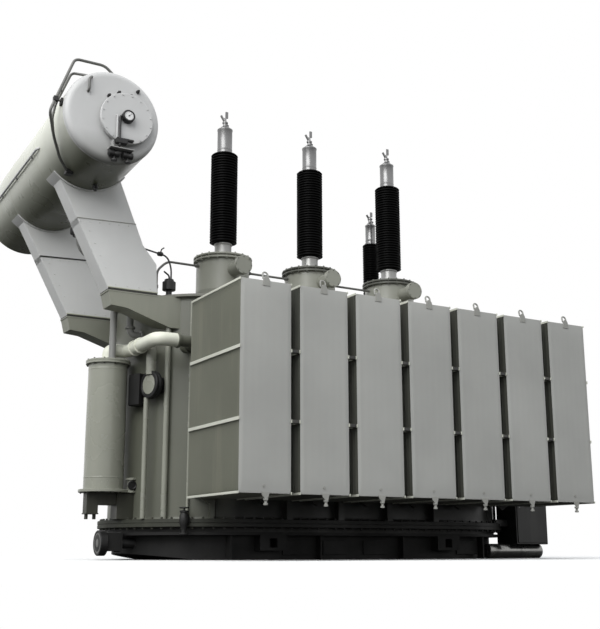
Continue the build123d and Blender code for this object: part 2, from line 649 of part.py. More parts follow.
def cabinet_and_rollers():
    """Control cabinet on the +X end, the skid bar beside it and the wheel at the -X end."""
    middle_y = -CABINET_SHARE * TANK_HALF_WIDTH
    inner = wall_x(middle_y + CABINET_DEPTH / 2) + CABINET_GAP
    outer = inner + CABINET_WIDTH
    back_y = middle_y + CABINET_DEPTH / 2
    z_high = CABINET_LOW + CABINET_HEIGHT
    pieces = [block((inner, outer), (middle_y - CABINET_DEPTH / 2, back_y), (CABINET_LOW, z_high))]
    for z in (BELL_LOW + 2 * SUPPORT_SIDE, z_high - 2 * SUPPORT_SIDE):
        support = block((TANK_HALF_STRAIGHT, inner), (back_y - 2 * SUPPORT_SIDE, back_y - SUPPORT_SIDE),
                        (z, z + SUPPORT_SIDE))
        pieces.append(support - nodes["bell_tank"])
    nodes["control_cabinet"] = join(pieces) - nodes["bell_flange"] - nodes["base_frame"]
    roller = bar((outer - ROLLER_LENGTH, middle_y, ROLLER_RADIUS), (outer, middle_y, ROLLER_RADIUS),
                 ROLLER_RADIUS, ROUND_SIDES)
    wheel_x = -wall_x(FILTER_Y) - FILTER_CLEARANCE - FILTER_RADIUS
    wheel_z = WHEEL_RADIUS + WHEEL_LIFT
    axle_end = WHEEL_THICK - wall_x(FILTER_Y, -BASE_INSET)
    half = WHEEL_THICK / 2
    wheel = bar((wheel_x - half, FILTER_Y, wheel_z), (wheel_x + half, FILTER_Y, wheel_z), WHEEL_RADIUS,
                ROUND_SIDES)
    axle = bar((wheel_x, FILTER_Y, wheel_z), (axle_end, FILTER_Y, wheel_z), AXLE_RADIUS, ROUND_SIDES)
    nodes["skid_rollers"] = group([roller - nodes["base_frame"] - nodes["control_cabinet"],
                                   wheel.fuse(axle) - nodes["base_frame"]])


base_and_tank()
tank_stiffeners()
jacking_pads()
radiators()
high_voltage()
neutral()
low_voltage()
conservator()
arms()
guard_rail()
oil_pipe()
filter_unit()
round_valve()
drain_and_cover_valves()
gas_pipe()
cabinet_and_rollers()

for name, shape in nodes.items():
    export_step(shape, f"parts/{name}.step")
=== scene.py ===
import math

import bmesh
import bpy
import numpy as np
from mathutils import Matrix, Vector


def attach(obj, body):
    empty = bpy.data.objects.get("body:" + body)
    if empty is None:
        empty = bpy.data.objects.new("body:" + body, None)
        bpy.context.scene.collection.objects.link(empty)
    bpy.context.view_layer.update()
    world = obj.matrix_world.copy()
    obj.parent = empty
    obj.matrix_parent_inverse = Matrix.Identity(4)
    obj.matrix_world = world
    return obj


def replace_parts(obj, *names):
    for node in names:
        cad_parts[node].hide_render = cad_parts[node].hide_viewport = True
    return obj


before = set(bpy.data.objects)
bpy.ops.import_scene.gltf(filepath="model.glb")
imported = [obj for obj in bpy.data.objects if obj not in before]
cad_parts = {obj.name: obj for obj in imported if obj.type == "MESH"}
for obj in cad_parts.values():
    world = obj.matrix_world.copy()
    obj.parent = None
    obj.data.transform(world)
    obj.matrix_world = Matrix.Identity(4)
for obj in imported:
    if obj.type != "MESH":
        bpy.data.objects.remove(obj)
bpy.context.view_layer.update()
tau = 2 * math.pi


# Studio: the camera stands low in front of the radiators and looks up, as the photographer did.
# The light is a wide soft sky with one large soft lamp from the front left, over a pale floor.

camera = bpy.data.objects.new("camera", bpy.data.cameras.new("camera"))
bpy.context.scene.collection.objects.link(camera)
camera.location = (-6.023, -10.256, 0.094)
camera.rotation_euler = [math.radians(angle) for angle in (90 + 13.12, 0.07, -29.83)]
camera.data.lens = 57.86
camera.data.sensor_width = 36
camera.data.clip_end = 500
bpy.context.scene.camera = camera
bpy.context.scene.view_settings.view_transform = "Standard"

lamp = bpy.data.objects.new("soft_box", bpy.data.lights.new("soft_box", "AREA"))
bpy.context.scene.collection.objects.link(lamp)
lamp.location = (-10.5, -7.0, 11.0)
lamp.rotation_euler = (Vector((0, -1.0, 1.8)) - lamp.location).to_track_quat("-Z", "Y").to_euler()
lamp.data.shape = "SQUARE"
lamp.data.size = 12.0
lamp.data.energy = 1850
lamp.visible_camera = False


def wired(tree, kind, sockets=(), **settings):
    """A shader node of a kind with its settings; each socket takes a value, an output or a node."""
    node = tree.nodes.new("ShaderNode" + kind)
    for setting, value in settings.items():
        setattr(node, setting, value)
    for socket, value in dict(sockets).items():
        if isinstance(value, bpy.types.Node):
            value = value.outputs[0]
        if isinstance(value, bpy.types.NodeSocket):
            tree.links.new(value, node.inputs[socket])
        else:
            node.inputs[socket].default_value = value
    return node


world = bpy.data.worlds.new("sky")
bpy.context.scene.world = world
world.use_nodes = True
tree = world.node_tree
tree.nodes.clear()
rays = wired(tree, "LightPath").outputs
way = wired(tree, "TexCoord").outputs["Generated"]
upward = wired(tree, "SeparateXYZ", {0: way}).outputs["Z"]
strength = wired(tree, "MapRange", {"Value": upward, "From Min": 0.0, "To Min": 1.0, "To Max": 1.15})
soft = wired(tree, "Background", {"Color": (0.95, 0.97, 1.0, 1), "Strength": strength})
white = wired(tree, "Background", {"Color": (1, 1, 1, 1)})
mirrored = wired(tree, "Math", {0: rays["Is Glossy Ray"], 1: rays["Is Transmission Ray"]},
                 operation="MAXIMUM")
seen = wired(tree, "Math", {0: rays["Is Camera Ray"], 1: mirrored}, operation="MAXIMUM")
wired(tree, "OutputWorld", {0: wired(tree, "MixShader", {0: seen, 1: soft, 2: white})})

floor_size = 60.0
bpy.ops.mesh.primitive_grid_add(x_subdivisions=8, y_subdivisions=8, size=2 * floor_size)
floor = bpy.context.object
floor.name = "floor"
floor_paint = bpy.data.materials.new("pale floor")
floor_paint.use_nodes = True
tree = floor_paint.node_tree
shader = tree.nodes["Principled BSDF"]
shader.inputs["Roughness"].default_value = 0.9
# Away from the object the floor fades to the white of the background.
place = wired(tree, "TexCoord").outputs["Object"]
length = wired(tree, "VectorMath", {0: place}, operation="LENGTH").outputs["Value"]
fade = wired(tree, "MapRange", {"Value": length, "From Min": 3.2, "From Max": 9.0})
seen = wired(tree, "LightPath").outputs["Is Camera Ray"]
tone = wired(tree, "Mix", {"Factor": seen, "A": (0.05, 0.05, 0.048, 1), "B": (0.86, 0.86, 0.85, 1)},
             data_type="RGBA")
tree.links.new(tone.outputs["Result"], shader.inputs["Base Color"])
share = wired(tree, "Math", {0: fade, 1: seen}, operation="MULTIPLY")
mixed = wired(tree, "MixShader", {0: share, 1: shader, 2: wired(tree, "Emission")})
tree.links.new(mixed.outputs[0], tree.nodes["Material Output"].inputs[0])
floor.data.materials.append(floor_paint)


# Base frame: a closed steel box under the tank, painted dark and dusty, with a rolled ring on top.
# Flat panels and gussets are welded to its sides, and boxes for the jacks stand out from them.

half_straight, tank_radius = 1.313, 1.07
flange_low, flange_top, cover_low, cover_top = 0.316, 0.395, 2.65, 2.68


def painted(name, colour, dust=(0.4, 0.38, 0.31), dirt=0.25, rough=0.45, metal=0.0, grain=0.04, shade_patch=None):
    """A sprayed or brushed coat: broad blotches, thin runs of dust down the sides, fine orange peel.

    Blotches are a noise about a metre across, runs are a noise ten times finer along the floor than
    up the wall, and the peel is a noise of a few millimetres in the bump and the gloss. Painted
    shade may darken a place where shadow falls: it comes in over a run of x and a run of z, in metres.
    """
    material = bpy.data.materials.new(name)
    material.use_nodes = True
    tree = material.node_tree
    shader = tree.nodes["Principled BSDF"]
    shader.inputs["Metallic"].default_value = metal
    place = wired(tree, "TexCoord").outputs["Object"]

    def noise(scale, stretch, detail):
        stretched = wired(tree, "Mapping", {"Vector": place, "Scale": stretch})
        return wired(tree, "TexNoise", {"Vector": stretched, "Scale": scale, "Detail": detail}).outputs["Fac"]

    def ranged(value, low, high, to_low, to_high):
        return wired(tree, "MapRange", {"Value": value, "From Min": low, "From Max": high, "To Min": to_low,
                                        "To Max": to_high}).outputs[0]

    def blended(factor, first, second):
        mix = wired(tree, "Mix", {"Factor": factor, "A": first, "B": (*second, 1)}, data_type="RGBA")
        return mix.outputs["Result"]

    darker = [0.86 * part for part in colour]
    blotches = ranged(noise(0.9, (1, 1, 1), 5), 0.35, 0.65, 0, 1)
    runs = ranged(noise(7.0, (1, 1, 0.09), 6), 0.52, 0.78, 0, dirt)
    base = blended(runs, blended(blotches, (*colour, 1), darker), dust)
    # Painted shade: the patch darkens the colour towards a shade colour over the given run of x and z.
    if shade_patch:
        run_x, run_z, depth, shade_colour = shade_patch
        spot = wired(tree, "SeparateXYZ", {0: place}).outputs
        along, down = ranged(spot["X"], *run_x, 0, 1), ranged(spot["Z"], *run_z, 0, 1)
        both = wired(tree, "Math", {0: along, 1: down}, operation="MULTIPLY")
        base = blended(ranged(both, 0, 1, 0, depth), base, shade_colour)
    gloss = ranged(noise(3.0, (1, 1, 1), 6), 0.3, 0.7, rough - 0.08, rough + 0.12)
    peel = wired(tree, "Bump", {"Strength": grain, "Distance": 0.002, "Height": noise(260.0, (1, 1, 1), 2)})
    for socket, output in (("Base Color", base), ("Roughness", gloss), ("Normal", peel.outputs[0])):
        tree.links.new(output, shader.inputs[socket])
    return material


def skin(name, grids, material, slot="tank_paint", smooth=True):
    """A mesh over grids of points, each an array (..., rows, columns, 3).

    Every square of four neighbouring points is a face, and the last column joins the first.
    Leading axes of a grid are copies of it.
    """
    points, faces, start = [], [], 0
    for grid in grids:
        rows, columns = grid.shape[-3:-1]
        copies = grid.reshape(-1, rows, columns, 3)
        r, c = np.meshgrid(np.arange(rows - 1), np.arange(columns), indexing="ij")
        r2, c2 = r + 1, (c + 1) % columns
        square = np.stack([r * columns + c, r * columns + c2, r2 * columns + c2, r2 * columns + c], -1)
        shift = start + np.arange(len(copies))[:, None, None] * rows * columns
        faces.append((square.reshape(1, -1, 4) + shift).reshape(-1, 4))
        points.append(copies.reshape(-1, 3))
        start += copies.shape[0] * rows * columns
    mesh = bpy.data.meshes.new(name)
    mesh.from_pydata(np.concatenate(points), [], np.concatenate(faces))
    work = bmesh.new()
    work.from_mesh(mesh)
    bmesh.ops.remove_doubles(work, verts=work.verts, dist=2e-5)
    bmesh.ops.recalc_face_normals(work, faces=work.faces)
    work.to_mesh(mesh)
    work.free()
    mesh.polygons.foreach_set("use_smooth", np.full(len(mesh.polygons), smooth))
    if smooth:
        mesh.set_sharp_from_angle(angle=math.radians(35))
    piece = bpy.data.objects.new(name, mesh)
    bpy.context.scene.collection.objects.link(piece)
    mesh.materials.append(material)
    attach(piece, "root")
    return piece


def coat(material, *names):
    """Give CAD nodes a material in their own slots."""
    for name in names:
        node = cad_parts[name]
        node.data.materials.clear()
        node.data.materials.append(material)


def boxes(centres, sizes, bevel=0.004):
    """Boxes with softened edges: a square carried up through rows that step in by the bevel.

    Several centres may share one size.
    """
    centres, sizes = np.atleast_2d(centres).astype(float), np.atleast_2d(sizes).astype(float)
    corner = np.array([[-1, -1], [1, -1], [1, 1], [-1, 1]])
    inset = np.array([0.0, 1.0, 1.0, 1.0, 1.0, 0.0])
    level = np.array([-1.0, -1.0, -1.0, 1.0, 1.0, 1.0])
    half = sizes / 2
    side = half[:, None, :2] - bevel * np.array([1, 1, 0, 0, 1, 1])[None, :, None]
    xy = corner[None, None] * (side * inset[None, :, None])[:, :, None]
    rise = half[:, None, 2] - bevel * np.array([0, 0, 1, 1, 0, 0])[None]
    z = np.broadcast_to((level * rise)[:, :, None], xy.shape[:3])
    return np.concatenate([xy, z[..., None]], -1) + centres[:, None, None]


def oval_path(radius, count):
    """Points and outward directions round the tank's outline, evenly spaced along it.

    The way round is two straights joined by two half circles; each point is placed by its distance.
    """
    straight, half_turn = 2 * half_straight, math.pi * radius
    way = np.arange(count) / count * (2 * straight + 2 * half_turn)
    part = np.searchsorted(np.cumsum([straight, half_turn, straight]), way, side="right")
    begin = np.array([0, straight, straight + half_turn, 2 * straight + half_turn])[part]
    gone = way - begin
    turn = np.where(part % 2 == 0, 0, gone / radius) + np.array([-0.5, -0.5, 0.5, 0.5])[part] * math.pi
    out_x, out_y = np.cos(turn), np.sin(turn)
    middle = np.select([part == 0, part == 1, part == 2],
                       [gone - half_straight, half_straight, half_straight - gone], -half_straight)
    spot = np.stack([middle + np.where(part % 2 == 0, 0, radius * out_x), radius * out_y], -1)
    return spot, np.stack([out_x, out_y], -1)


def oval_wall(profile, count=192):
    """A wall round the tank's outline: the profile of (radius, height) carried round the oval."""
    rows = []
    for radius, height in profile:
        spot, _ = oval_path(radius, count)
        rows.append(np.column_stack([spot, np.full(count, height)]))
    return np.array(rows)


dark_paint = painted("dark base paint", (0.0025, 0.0025, 0.0022), dust=(0.014, 0.014, 0.011), dirt=0.3,
                     rough=0.7)
coat(dark_paint, "base_frame", "jacking_pads")

for side, label in ((-1, "front"), (1, "back")):
    wall_y = side * 1.01
    raised = boxes([[x, wall_y + side * 0.004, 0.12] for x in (-0.78, -0.3, 0.2, 1.45)], [0.3, 0.02, 0.15])
    gussets = boxes([[x, wall_y + side * 0.04, 0.118] for x in (-1.55, -0.52, 0.52, 1.62)],
                    [0.016, 0.1, 0.235], 0.002)
    skin(f"base_panels_{label}", [raised, gussets], dark_paint, "base_paint", smooth=False)


# Lower tank and bell flange: two thick flat flanges with a gasket between them, bolted all round.
# The paint is the tank's olive grey, darker with dust; under the radiators painted shade blackens it.

def turned(profile, origin, axis=(0, 0, 1), sides=32):
    """A turned surface: the profile of (radius, distance) carried once round an axis at origin."""
    profile = np.asarray(profile, float)
    axis = np.array(axis, float) / np.linalg.norm(axis)
    other = np.cross(axis, [0.0, 0.0, 1.0]) if abs(axis[2]) < 0.9 else np.array([1.0, 0.0, 0.0])
    other = other / np.linalg.norm(other)
    third = np.cross(axis, other)
    angle = np.arange(sides) / sides * tau
    ring = np.cos(angle)[:, None] * other + np.sin(angle)[:, None] * third
    outward = profile[:, 0, None, None] * ring[None]
    return outward + profile[:, 1, None, None] * axis + np.asarray(origin, float)


def capped(profile):
    """A profile closed onto its axis by a flat end at both ends."""
    return [(0, profile[0][1]), *profile, (0, profile[-1][1])]


def rod(radius, low, high):
    """The profile of a plain round bar from one distance along its axis to another."""
    return capped([(radius, low), (radius, high)])


def bolt_heads(centres, across, height, axis=(0, 0, 1)):
    """Hexagon heads on washers: a six-sided profile stepped in at the top, at each centre."""
    radius = np.array([0.0, 0.8, 0.8, 0.58, 0.58, 0.5, 0.0]) * across
    lift = np.array([0.0, 0.0, 0.18, 0.18, 0.85, 1.0, 1.0]) * height
    return turned(np.column_stack([radius, lift]), (0, 0, 0), axis, 6) + np.atleast_2d(centres)[:, None, None]


# Painted shade: the shadow under the radiators, blackening the tank wall, the flange and its bolts there.
radiator_shade = ((-1.95, -1.45), (0.85, 0.55), 0.94, (0.006, 0.006, 0.005))
flange_paint = painted("flange paint", (0.03, 0.032, 0.021), dust=(0.08, 0.078, 0.055), dirt=0.3, rough=0.55,
                       shade_patch=radiator_shade)
tank_low_paint = painted("lower tank paint", (0.012, 0.012, 0.01), dust=(0.05, 0.05, 0.04), dirt=0.3,
                         rough=0.55)
coat(tank_low_paint, "lower_tank")
flange_radius = 1.17
flange = oval_wall([(tank_radius, flange_low), (1.166, flange_low), (flange_radius, 0.32),
                    (flange_radius, 0.35), (1.166, 0.353), (1.166, 0.357), (flange_radius, 0.36),
                    (flange_radius, 0.391), (1.166, flange_top), (tank_radius, flange_top)])
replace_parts(skin("bell_flange_plates", [flange], flange_paint), "bell_flange")
spots, _ = oval_path(1.135, 118)
tops = np.column_stack([spots, np.full(len(spots), flange_top)])
bolt_paint = painted("bolt paint", (0.045, 0.046, 0.034), dust=(0.13, 0.11, 0.08), dirt=0.5, rough=0.5,
                     shade_patch=radiator_shade)
bolts = [bolt_heads(tops, 0.022, 0.02), bolt_heads(tops - [0, 0, 0.079], 0.022, 0.02, (0, 0, -1))]
skin("bell_flange_bolts", bolts, bolt_paint, smooth=False)


# Bell tank: welded steel plate round the core and windings, half-round at both ends.
# Ribs of folded plate are welded up its ends, and the cover plate overhangs it all round.

# Painted shade: the tank paint is darker than the filter's and turrets' olive grey, for the shade that the
# drum and arms cast on the tank's end.
tank_paint = painted("tank paint", (0.12, 0.125, 0.096), dust=(0.18, 0.175, 0.14), dirt=0.2, rough=0.36,
                     shade_patch=radiator_shade)
shade_paint = painted("cover edge paint", (0.17, 0.17, 0.14), dust=(0.3, 0.29, 0.24), dirt=0.2)
wall = oval_wall([(tank_radius, 0.393), (1.078, 0.397), (1.072, 0.404), (tank_radius, 0.41),
                  (tank_radius, 0.43), (tank_radius, 2.61), (tank_radius, 2.632), (1.073, 2.642),
                  (1.08, 2.652)])
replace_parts(skin("tank_wall", [wall], tank_paint), "bell_tank")
cover_radius = 1.12
lid = oval_wall([(0.3, cover_low), (1.116, cover_low), (cover_radius, 2.654), (cover_radius, 2.676),
                 (1.116, cover_top), (0.6, cover_top), (0.02, cover_top)])
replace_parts(skin("cover_plate", [lid], shade_paint), "tank_cover")
coat(tank_paint, "tank_stiffeners", "radiator_necks")


def end_ribs(angles, width, depth, low, high, side):
    """Ribs up the round end: a trapezium of plate at each angle, carried from low to high."""
    turn = np.radians(np.asarray(angles, float))[:, None]
    across = np.array([-0.5, -0.32, 0.32, 0.5]) * width
    reach = np.array([-0.004, depth, depth, -0.004])
    radius = tank_radius + reach[None]
    spread = turn + across[None] / tank_radius
    x = side * (half_straight + radius * np.cos(spread))
    y = -radius * np.sin(spread)
    rows = []
    for z, squeeze in ((low, 0.0), (low + 0.002, 1.0), (high - 0.002, 1.0), (high, 0.0)):
        mid_x, mid_y = x.mean(1, keepdims=True), y.mean(1, keepdims=True)
        rows.append(np.stack([mid_x + (x - mid_x) * squeeze, mid_y + (y - mid_y) * squeeze,
                              np.full_like(x, z)], -1))
    return np.stack(rows, 1)


skin("end_ribs", [end_ribs([68], 0.075, 0.045, 0.397, 2.3, -1),
                  end_ribs([-40, -60], 0.075, 0.045, 0.397, 2.64, -1),
                  end_ribs([-60, -30, 0, 30, 60], 0.075, 0.045, 0.397, 2.64, 1)], tank_paint, smooth=False)


# Radiators: each fin is two thin pressed steel sheets seam-welded round the edge, with shallow
# channels for the oil. The fins hang on a top and a bottom header pipe, with flat bars across them.

fin_xs = (np.arange(7) - 3) * 0.615
fin_width, fin_low, fin_high = 0.52, 0.578, 2.494
fin_front, fin_pitch, fin_count = -2.366, 0.045, 25
header_low, header_high = 0.636, 2.436


def pressed_fins(x, ys, channels):
    """Pressed fins: a closed outline round each, swept from the bottom edge to the top edge.

    The outline runs across the front sheet and back along the rear one. Each sheet lies on the flat
    seam at the sides and bulges between them, with seven shallow channels of the given depth: a
    cosine over the width. The bulge fades to nothing at the bottom and top, where the edges are
    rounded at the corners.
    """
    across = np.concatenate([[-1.0, -0.992, -0.93], np.linspace(-0.9, 0.9, 29), [0.93, 0.992, 1.0]])
    inner = np.clip((0.93 - np.abs(across)) / 0.03, 0, 1)
    channel = 0.0034 + channels * np.cos(across * 7 * math.pi)
    heights = np.array([0.0, 0.003, 0.02, 0.034, 0.075, 0.5, 0.925, 0.966, 0.98, 0.997, 1.0])
    bulge = np.array([0.0, 0.0, 0.0, 0.8, 1.0, 1.0, 1.0, 0.8, 0.0, 0.0, 0.0])
    narrow = np.array([0.955, 0.985, 1.0, 1.0, 1.0, 1.0, 1.0, 1.0, 1.0, 0.985, 0.955])
    seam = np.where(np.abs(across) == 1, 0.0, 0.001)
    thick = seam[None] + inner[None] * channel[None] * bulge[:, None]
    thick[[0, -1]] = 0
    front = np.stack([across[None] * narrow[:, None] * fin_width / 2, -thick], -1)
    rear = np.stack([across[None] * narrow[:, None] * fin_width / 2, thick], -1)[:, ::-1]
    loop = np.concatenate([front, rear[:, 1:-1]], 1)
    z = fin_low + heights * (fin_high - fin_low)
    grid = np.empty((len(ys), len(heights), loop.shape[1], 3))
    grid[..., 0] = x + loop[None, :, :, 0]
    grid[..., 1] = loop[None, :, :, 1] + np.asarray(ys)[:, None, None] + 0.005
    grid[..., 2] = z[None, :, None]
    return grid


def tube(path, radius, sides=12, ends=True):
    """A tube along a path of points: rings set square to the path's direction at each point.

    The direction is the difference of the neighbouring points, and the rings are turned to a fixed
    side direction, an axis or a diagonal, the one that the path runs along least. Closed ends
    shrink to a point.
    """
    path = np.asarray(path, float)
    ahead = np.gradient(path, axis=0)
    ahead /= np.linalg.norm(ahead, axis=1, keepdims=True)
    choices = np.concatenate([np.eye(3),
                              np.array([[1, 1, 1], [1, -1, 1], [1, 1, -1], [-1, 1, 1]]) / 3 ** 0.5])
    fixed = choices[np.argmin(np.abs(ahead @ choices.T).max(0))]
    other = np.cross(ahead, fixed)
    other /= np.linalg.norm(other, axis=1, keepdims=True)
    third = np.cross(ahead, other)
    angle = np.arange(sides) / sides * tau
    radii = np.full(len(path), radius, float)
    if ends:
        path = np.concatenate([path[:1], path, path[-1:]])
        other = np.concatenate([other[:1], other, other[-1:]])
        third = np.concatenate([third[:1], third, third[-1:]])
        radii = np.concatenate([[0.0], radii, [0.0]])
    ring = (np.cos(angle)[None, :, None] * other[:, None] + np.sin(angle)[None, :, None] * third[:, None])
    return path[:, None] + radii[:, None, None] * ring


def bent(corners, bend, steps=7):
    """A path through corners, each rounded by a curve that leaves and meets the runs at the bend."""
    corners = [np.asarray(corner, float) for corner in corners]
    path = [corners[0][None]]
    share = np.linspace(0, 1, steps)[:, None]
    for before, corner, after in zip(corners, corners[1:], corners[2:]):
        back, on = before - corner, after - corner
        reach = min(bend, 0.48 * np.linalg.norm(back), 0.48 * np.linalg.norm(on))
        first = corner + back / np.linalg.norm(back) * reach
        last = corner + on / np.linalg.norm(on) * reach
        path.append((1 - share) ** 2 * first + 2 * share * (1 - share) * corner + share ** 2 * last)
    return np.concatenate(path + [corners[-1][None]])


radiator_paint = painted("radiator paint", (0.372, 0.374, 0.352), dust=(0.44, 0.43, 0.38), dirt=0.14,
                         rough=0.45)
# Painted shade: the fins behind the front one and the headers take darker copies of the radiator paint; the
# darkest, on radiators 2 to 7, is the shade in the gaps between radiators.
fin_paint = painted("inner fin paint", (0.195, 0.2, 0.158), dust=(0.33, 0.32, 0.25), dirt=0.3, rough=0.5)
shaded_paint = painted("shaded fin paint", (0.08, 0.082, 0.066), dust=(0.15, 0.145, 0.115), dirt=0.3,
                       rough=0.6)
header_profile = [(0.0, 0.012), (0.04, 0.014), (0.0445, 0.02), (0.0445, 1.128), (0.0, 1.128)]
for number, x in enumerate(fin_xs, 1):
    front = skin(f"radiator_{number}_front_fin", [pressed_fins(x, [fin_front + 0.004], 0.0004)],
                 radiator_paint, "radiator_paint")
    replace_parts(front, f"radiator_{number}")
    ys = fin_front + fin_pitch * np.arange(1, fin_count)
    side_paint = fin_paint if number == 1 else shaded_paint
    skin(f"radiator_{number}_fins", [pressed_fins(x, ys, 0.0013)], side_paint, "radiator_paint")
    headers = [turned(header_profile, (x, fin_front, z), (0, 1, 0), 20) for z in (header_low, header_high)]
    skin(f"radiator_{number}_headers", headers, side_paint, "radiator_paint")

# Painted highlight: the tie bars are painted paler than the radiators, for the light falling on them from the
# left.
bar_paint = painted("tie bar paint", (0.56, 0.57, 0.49), dust=(0.45, 0.43, 0.35), dirt=0.3, rough=0.45)
coat(bar_paint, "radiator_bars")

bars = [boxes([x + side * (fin_width / 2 + 0.003), fin_front + 0.545, z], [0.008, 1.085, 0.022], 0.002)
        for x in fin_xs for side in (-1, 1) for z in (fin_low + 0.004, fin_high - 0.006)]
skin("fin_edge_bars", bars, bar_paint, "bar_metal", smooth=False)

clip_paint = painted("spacer paint", (0.03, 0.03, 0.028), dirt=0.2)
clips = [boxes([x, fin_front + 0.03, z], [0.092, 0.04, 0.03], 0.003) for x in (fin_xs[:-1] + fin_xs[1:]) / 2
         for z in (1.222, 1.866)]
skin("radiator_spacers", clips, clip_paint, "bar_metal", smooth=False)


# Lifting lugs with their loops on top of each front fin, drain gussets and plugs under it.
# The lugs and gussets are cut from plate and welded on; the plugs are turned and painted over.

def plate_cut(outline, y, thick, bevel=0.002):
    """A plate cut to an outline of (x, z): the outline carried through its thickness along y.

    Rows go from the middle of the back, out to the edge, across the edge and in again.
    """
    outline = np.asarray(outline, float)
    middle = outline.mean(0)
    rows = []
    for share, depth in ((0, 0), (1 - bevel * 8, 0), (1, bevel), (1, thick - bevel), (1 - bevel * 8, thick),
                         (0, thick)):
        ring = middle + (outline - middle) * share
        rows.append(np.column_stack([ring[:, 0], np.full(len(ring), y + depth), ring[:, 1]]))
    return np.array(rows)


def loop_rod(centre, width, height, radius, lean=0.0):
    """A lifting loop: a half-ring of round rod that stands on two legs, leaning along y."""
    angle = np.linspace(0, math.pi, 15)
    x = centre[0] - np.cos(angle) * width / 2
    z = height - width / 2 + np.sin(angle) * width / 2
    path = np.column_stack([x, centre[1] + lean * z, centre[2] + z])
    feet = path[[0, -1]] * [1, 0, 0] + [0, centre[1], centre[2]]
    return tube(np.concatenate([feet[:1], path, feet[1:]]), radius, 8)


lug_paint = painted("lug paint", (0.3, 0.3, 0.275), dust=(0.22, 0.21, 0.18), dirt=0.3, rough=0.45)
lug_plates, lug_loops, plugs, gussets = [], [], [], []
plug = [(0, 0), (0.022, 0), (0.022, -0.018), (0.013, -0.022), (0.013, -0.042), (0.02, -0.044), (0.02, -0.06),
        (0, -0.062)]
for x in fin_xs:
    lug = [(x - 0.036, fin_high - 0.05), (x + 0.036, fin_high - 0.05), (x + 0.032, fin_high + 0.012),
           (x + 0.014, fin_high + 0.04), (x - 0.014, fin_high + 0.04), (x - 0.032, fin_high + 0.012)]
    gusset = [(x - 0.04, fin_low + 0.012), (x + 0.046, fin_low + 0.012), (x + 0.034, fin_low - 0.024),
              (x + 0.026, fin_low - 0.048), (x + 0.002, fin_low - 0.048), (x - 0.024, fin_low - 0.024)]
    lug_plates.append(plate_cut(lug, fin_front + 0.001, 0.012))
    gussets.append(plate_cut(gusset, fin_front + 0.004, 0.012))
    lug_loops.append(loop_rod((x - 0.006, fin_front + 0.012, fin_high + 0.018), 0.052, 0.064, 0.0085, 0.25))
    brace = [(x + 0.004, fin_front + 0.02, fin_high + 0.03), (x + 0.055, fin_front + 0.03, fin_high - 0.006)]
    lug_loops.append(tube(brace, 0.01, 8))
    plugs.append(turned(plug, (x + 0.014, fin_front + 0.022, fin_low - 0.042), sides=10))
    plugs.append(turned([(0, -0.002), (0.014, -0.002), (0.014, 0.003), (0, 0.004)],
                        (x - 0.012, fin_front + 0.005, header_low + 0.006), (0, -1, 0), 12))
skin("radiator_lug_plates", lug_plates, lug_paint, "radiator_paint", smooth=False)
skin("radiator_lug_loops", lug_loops, lug_paint, "radiator_paint")
skin("radiator_drain_gussets", gussets, lug_paint, "radiator_paint", smooth=False)
skin("radiator_plugs", plugs, lug_paint, "radiator_paint")


# Turrets: short welded cylinders on the cover that hold the current transformers.
# A pair of bolted flanges closes each one, darker on the second and third, and a side nozzle ends in a blank
# flange.

def circle(centre, radius, count, level=True, start=0.0):
    """Points evenly round a circle about the centre, level or standing across y."""
    angle = (np.arange(count) + start) / count * tau
    spots = np.tile(np.asarray(centre, float), (count, 1))
    spots[:, 0] += radius * np.cos(angle)
    spots[:, 1 if level else 2] += radius * np.sin(angle)
    return spots


turret_paint = painted("turret paint", (0.25, 0.254, 0.214), dust=(0.32, 0.31, 0.26), dirt=0.2, rough=0.36)
rim_paint = painted("turret rim paint", (0.085, 0.087, 0.072), dust=(0.25, 0.24, 0.2), dirt=0.2)
neck_metal = painted("bare neck metal", (0.32, 0.32, 0.31), dust=(0.3, 0.3, 0.28), dirt=0.3, rough=0.35,
                     metal=0.6)
turret_xs = (-1.172, 0.0, 1.172)
turret_top, turret_radius, rim_radius = 3.326, 0.306, 0.34
nozzle_z, blank_radius = 3.192, 0.105
turret_profile = [(0.29, cover_top), (0.345, cover_top), (0.345, 2.698), (0.309, 2.7), (turret_radius, 2.706),
                  (turret_radius, 2.96), (0.3075, 2.964), (0.3075, 2.972), (turret_radius, 2.976),
                  (turret_radius, turret_top), (0.2, turret_top), (0.0, turret_top)]
rim_profile = [(0.25, 3.3255), (0.335, 3.3255), (rim_radius, 3.33), (rim_radius, 3.343), (0.337, 3.347),
               (0.32, 3.348), (0.32, 3.362), (0.337, 3.363), (rim_radius, 3.367), (rim_radius, 3.38),
               (0.336, 3.385), (0.25, 3.388), (0.228, 3.398), (0.15, 3.413), (0.06, 3.416), (0.0, 3.416)]
neck_profile = capped([(0.116, 3.414), (0.108, 3.432), (0.101, 3.455), (0.098, 3.48), (0.098, 3.545),
                       (0.104, 3.549), (0.106, 3.553), (0.106, 3.566), (0.102, 3.57), (0.098, 3.5765)])
nozzle_profile = capped([(0.08, 0.25), (0.08, 0.488), (0.102, 0.489), (blank_radius, 0.492),
                         (blank_radius, 0.515), (0.101, 0.518), (0.101, 0.521), (blank_radius, 0.524),
                         (blank_radius, 0.546), (0.101, 0.55)])
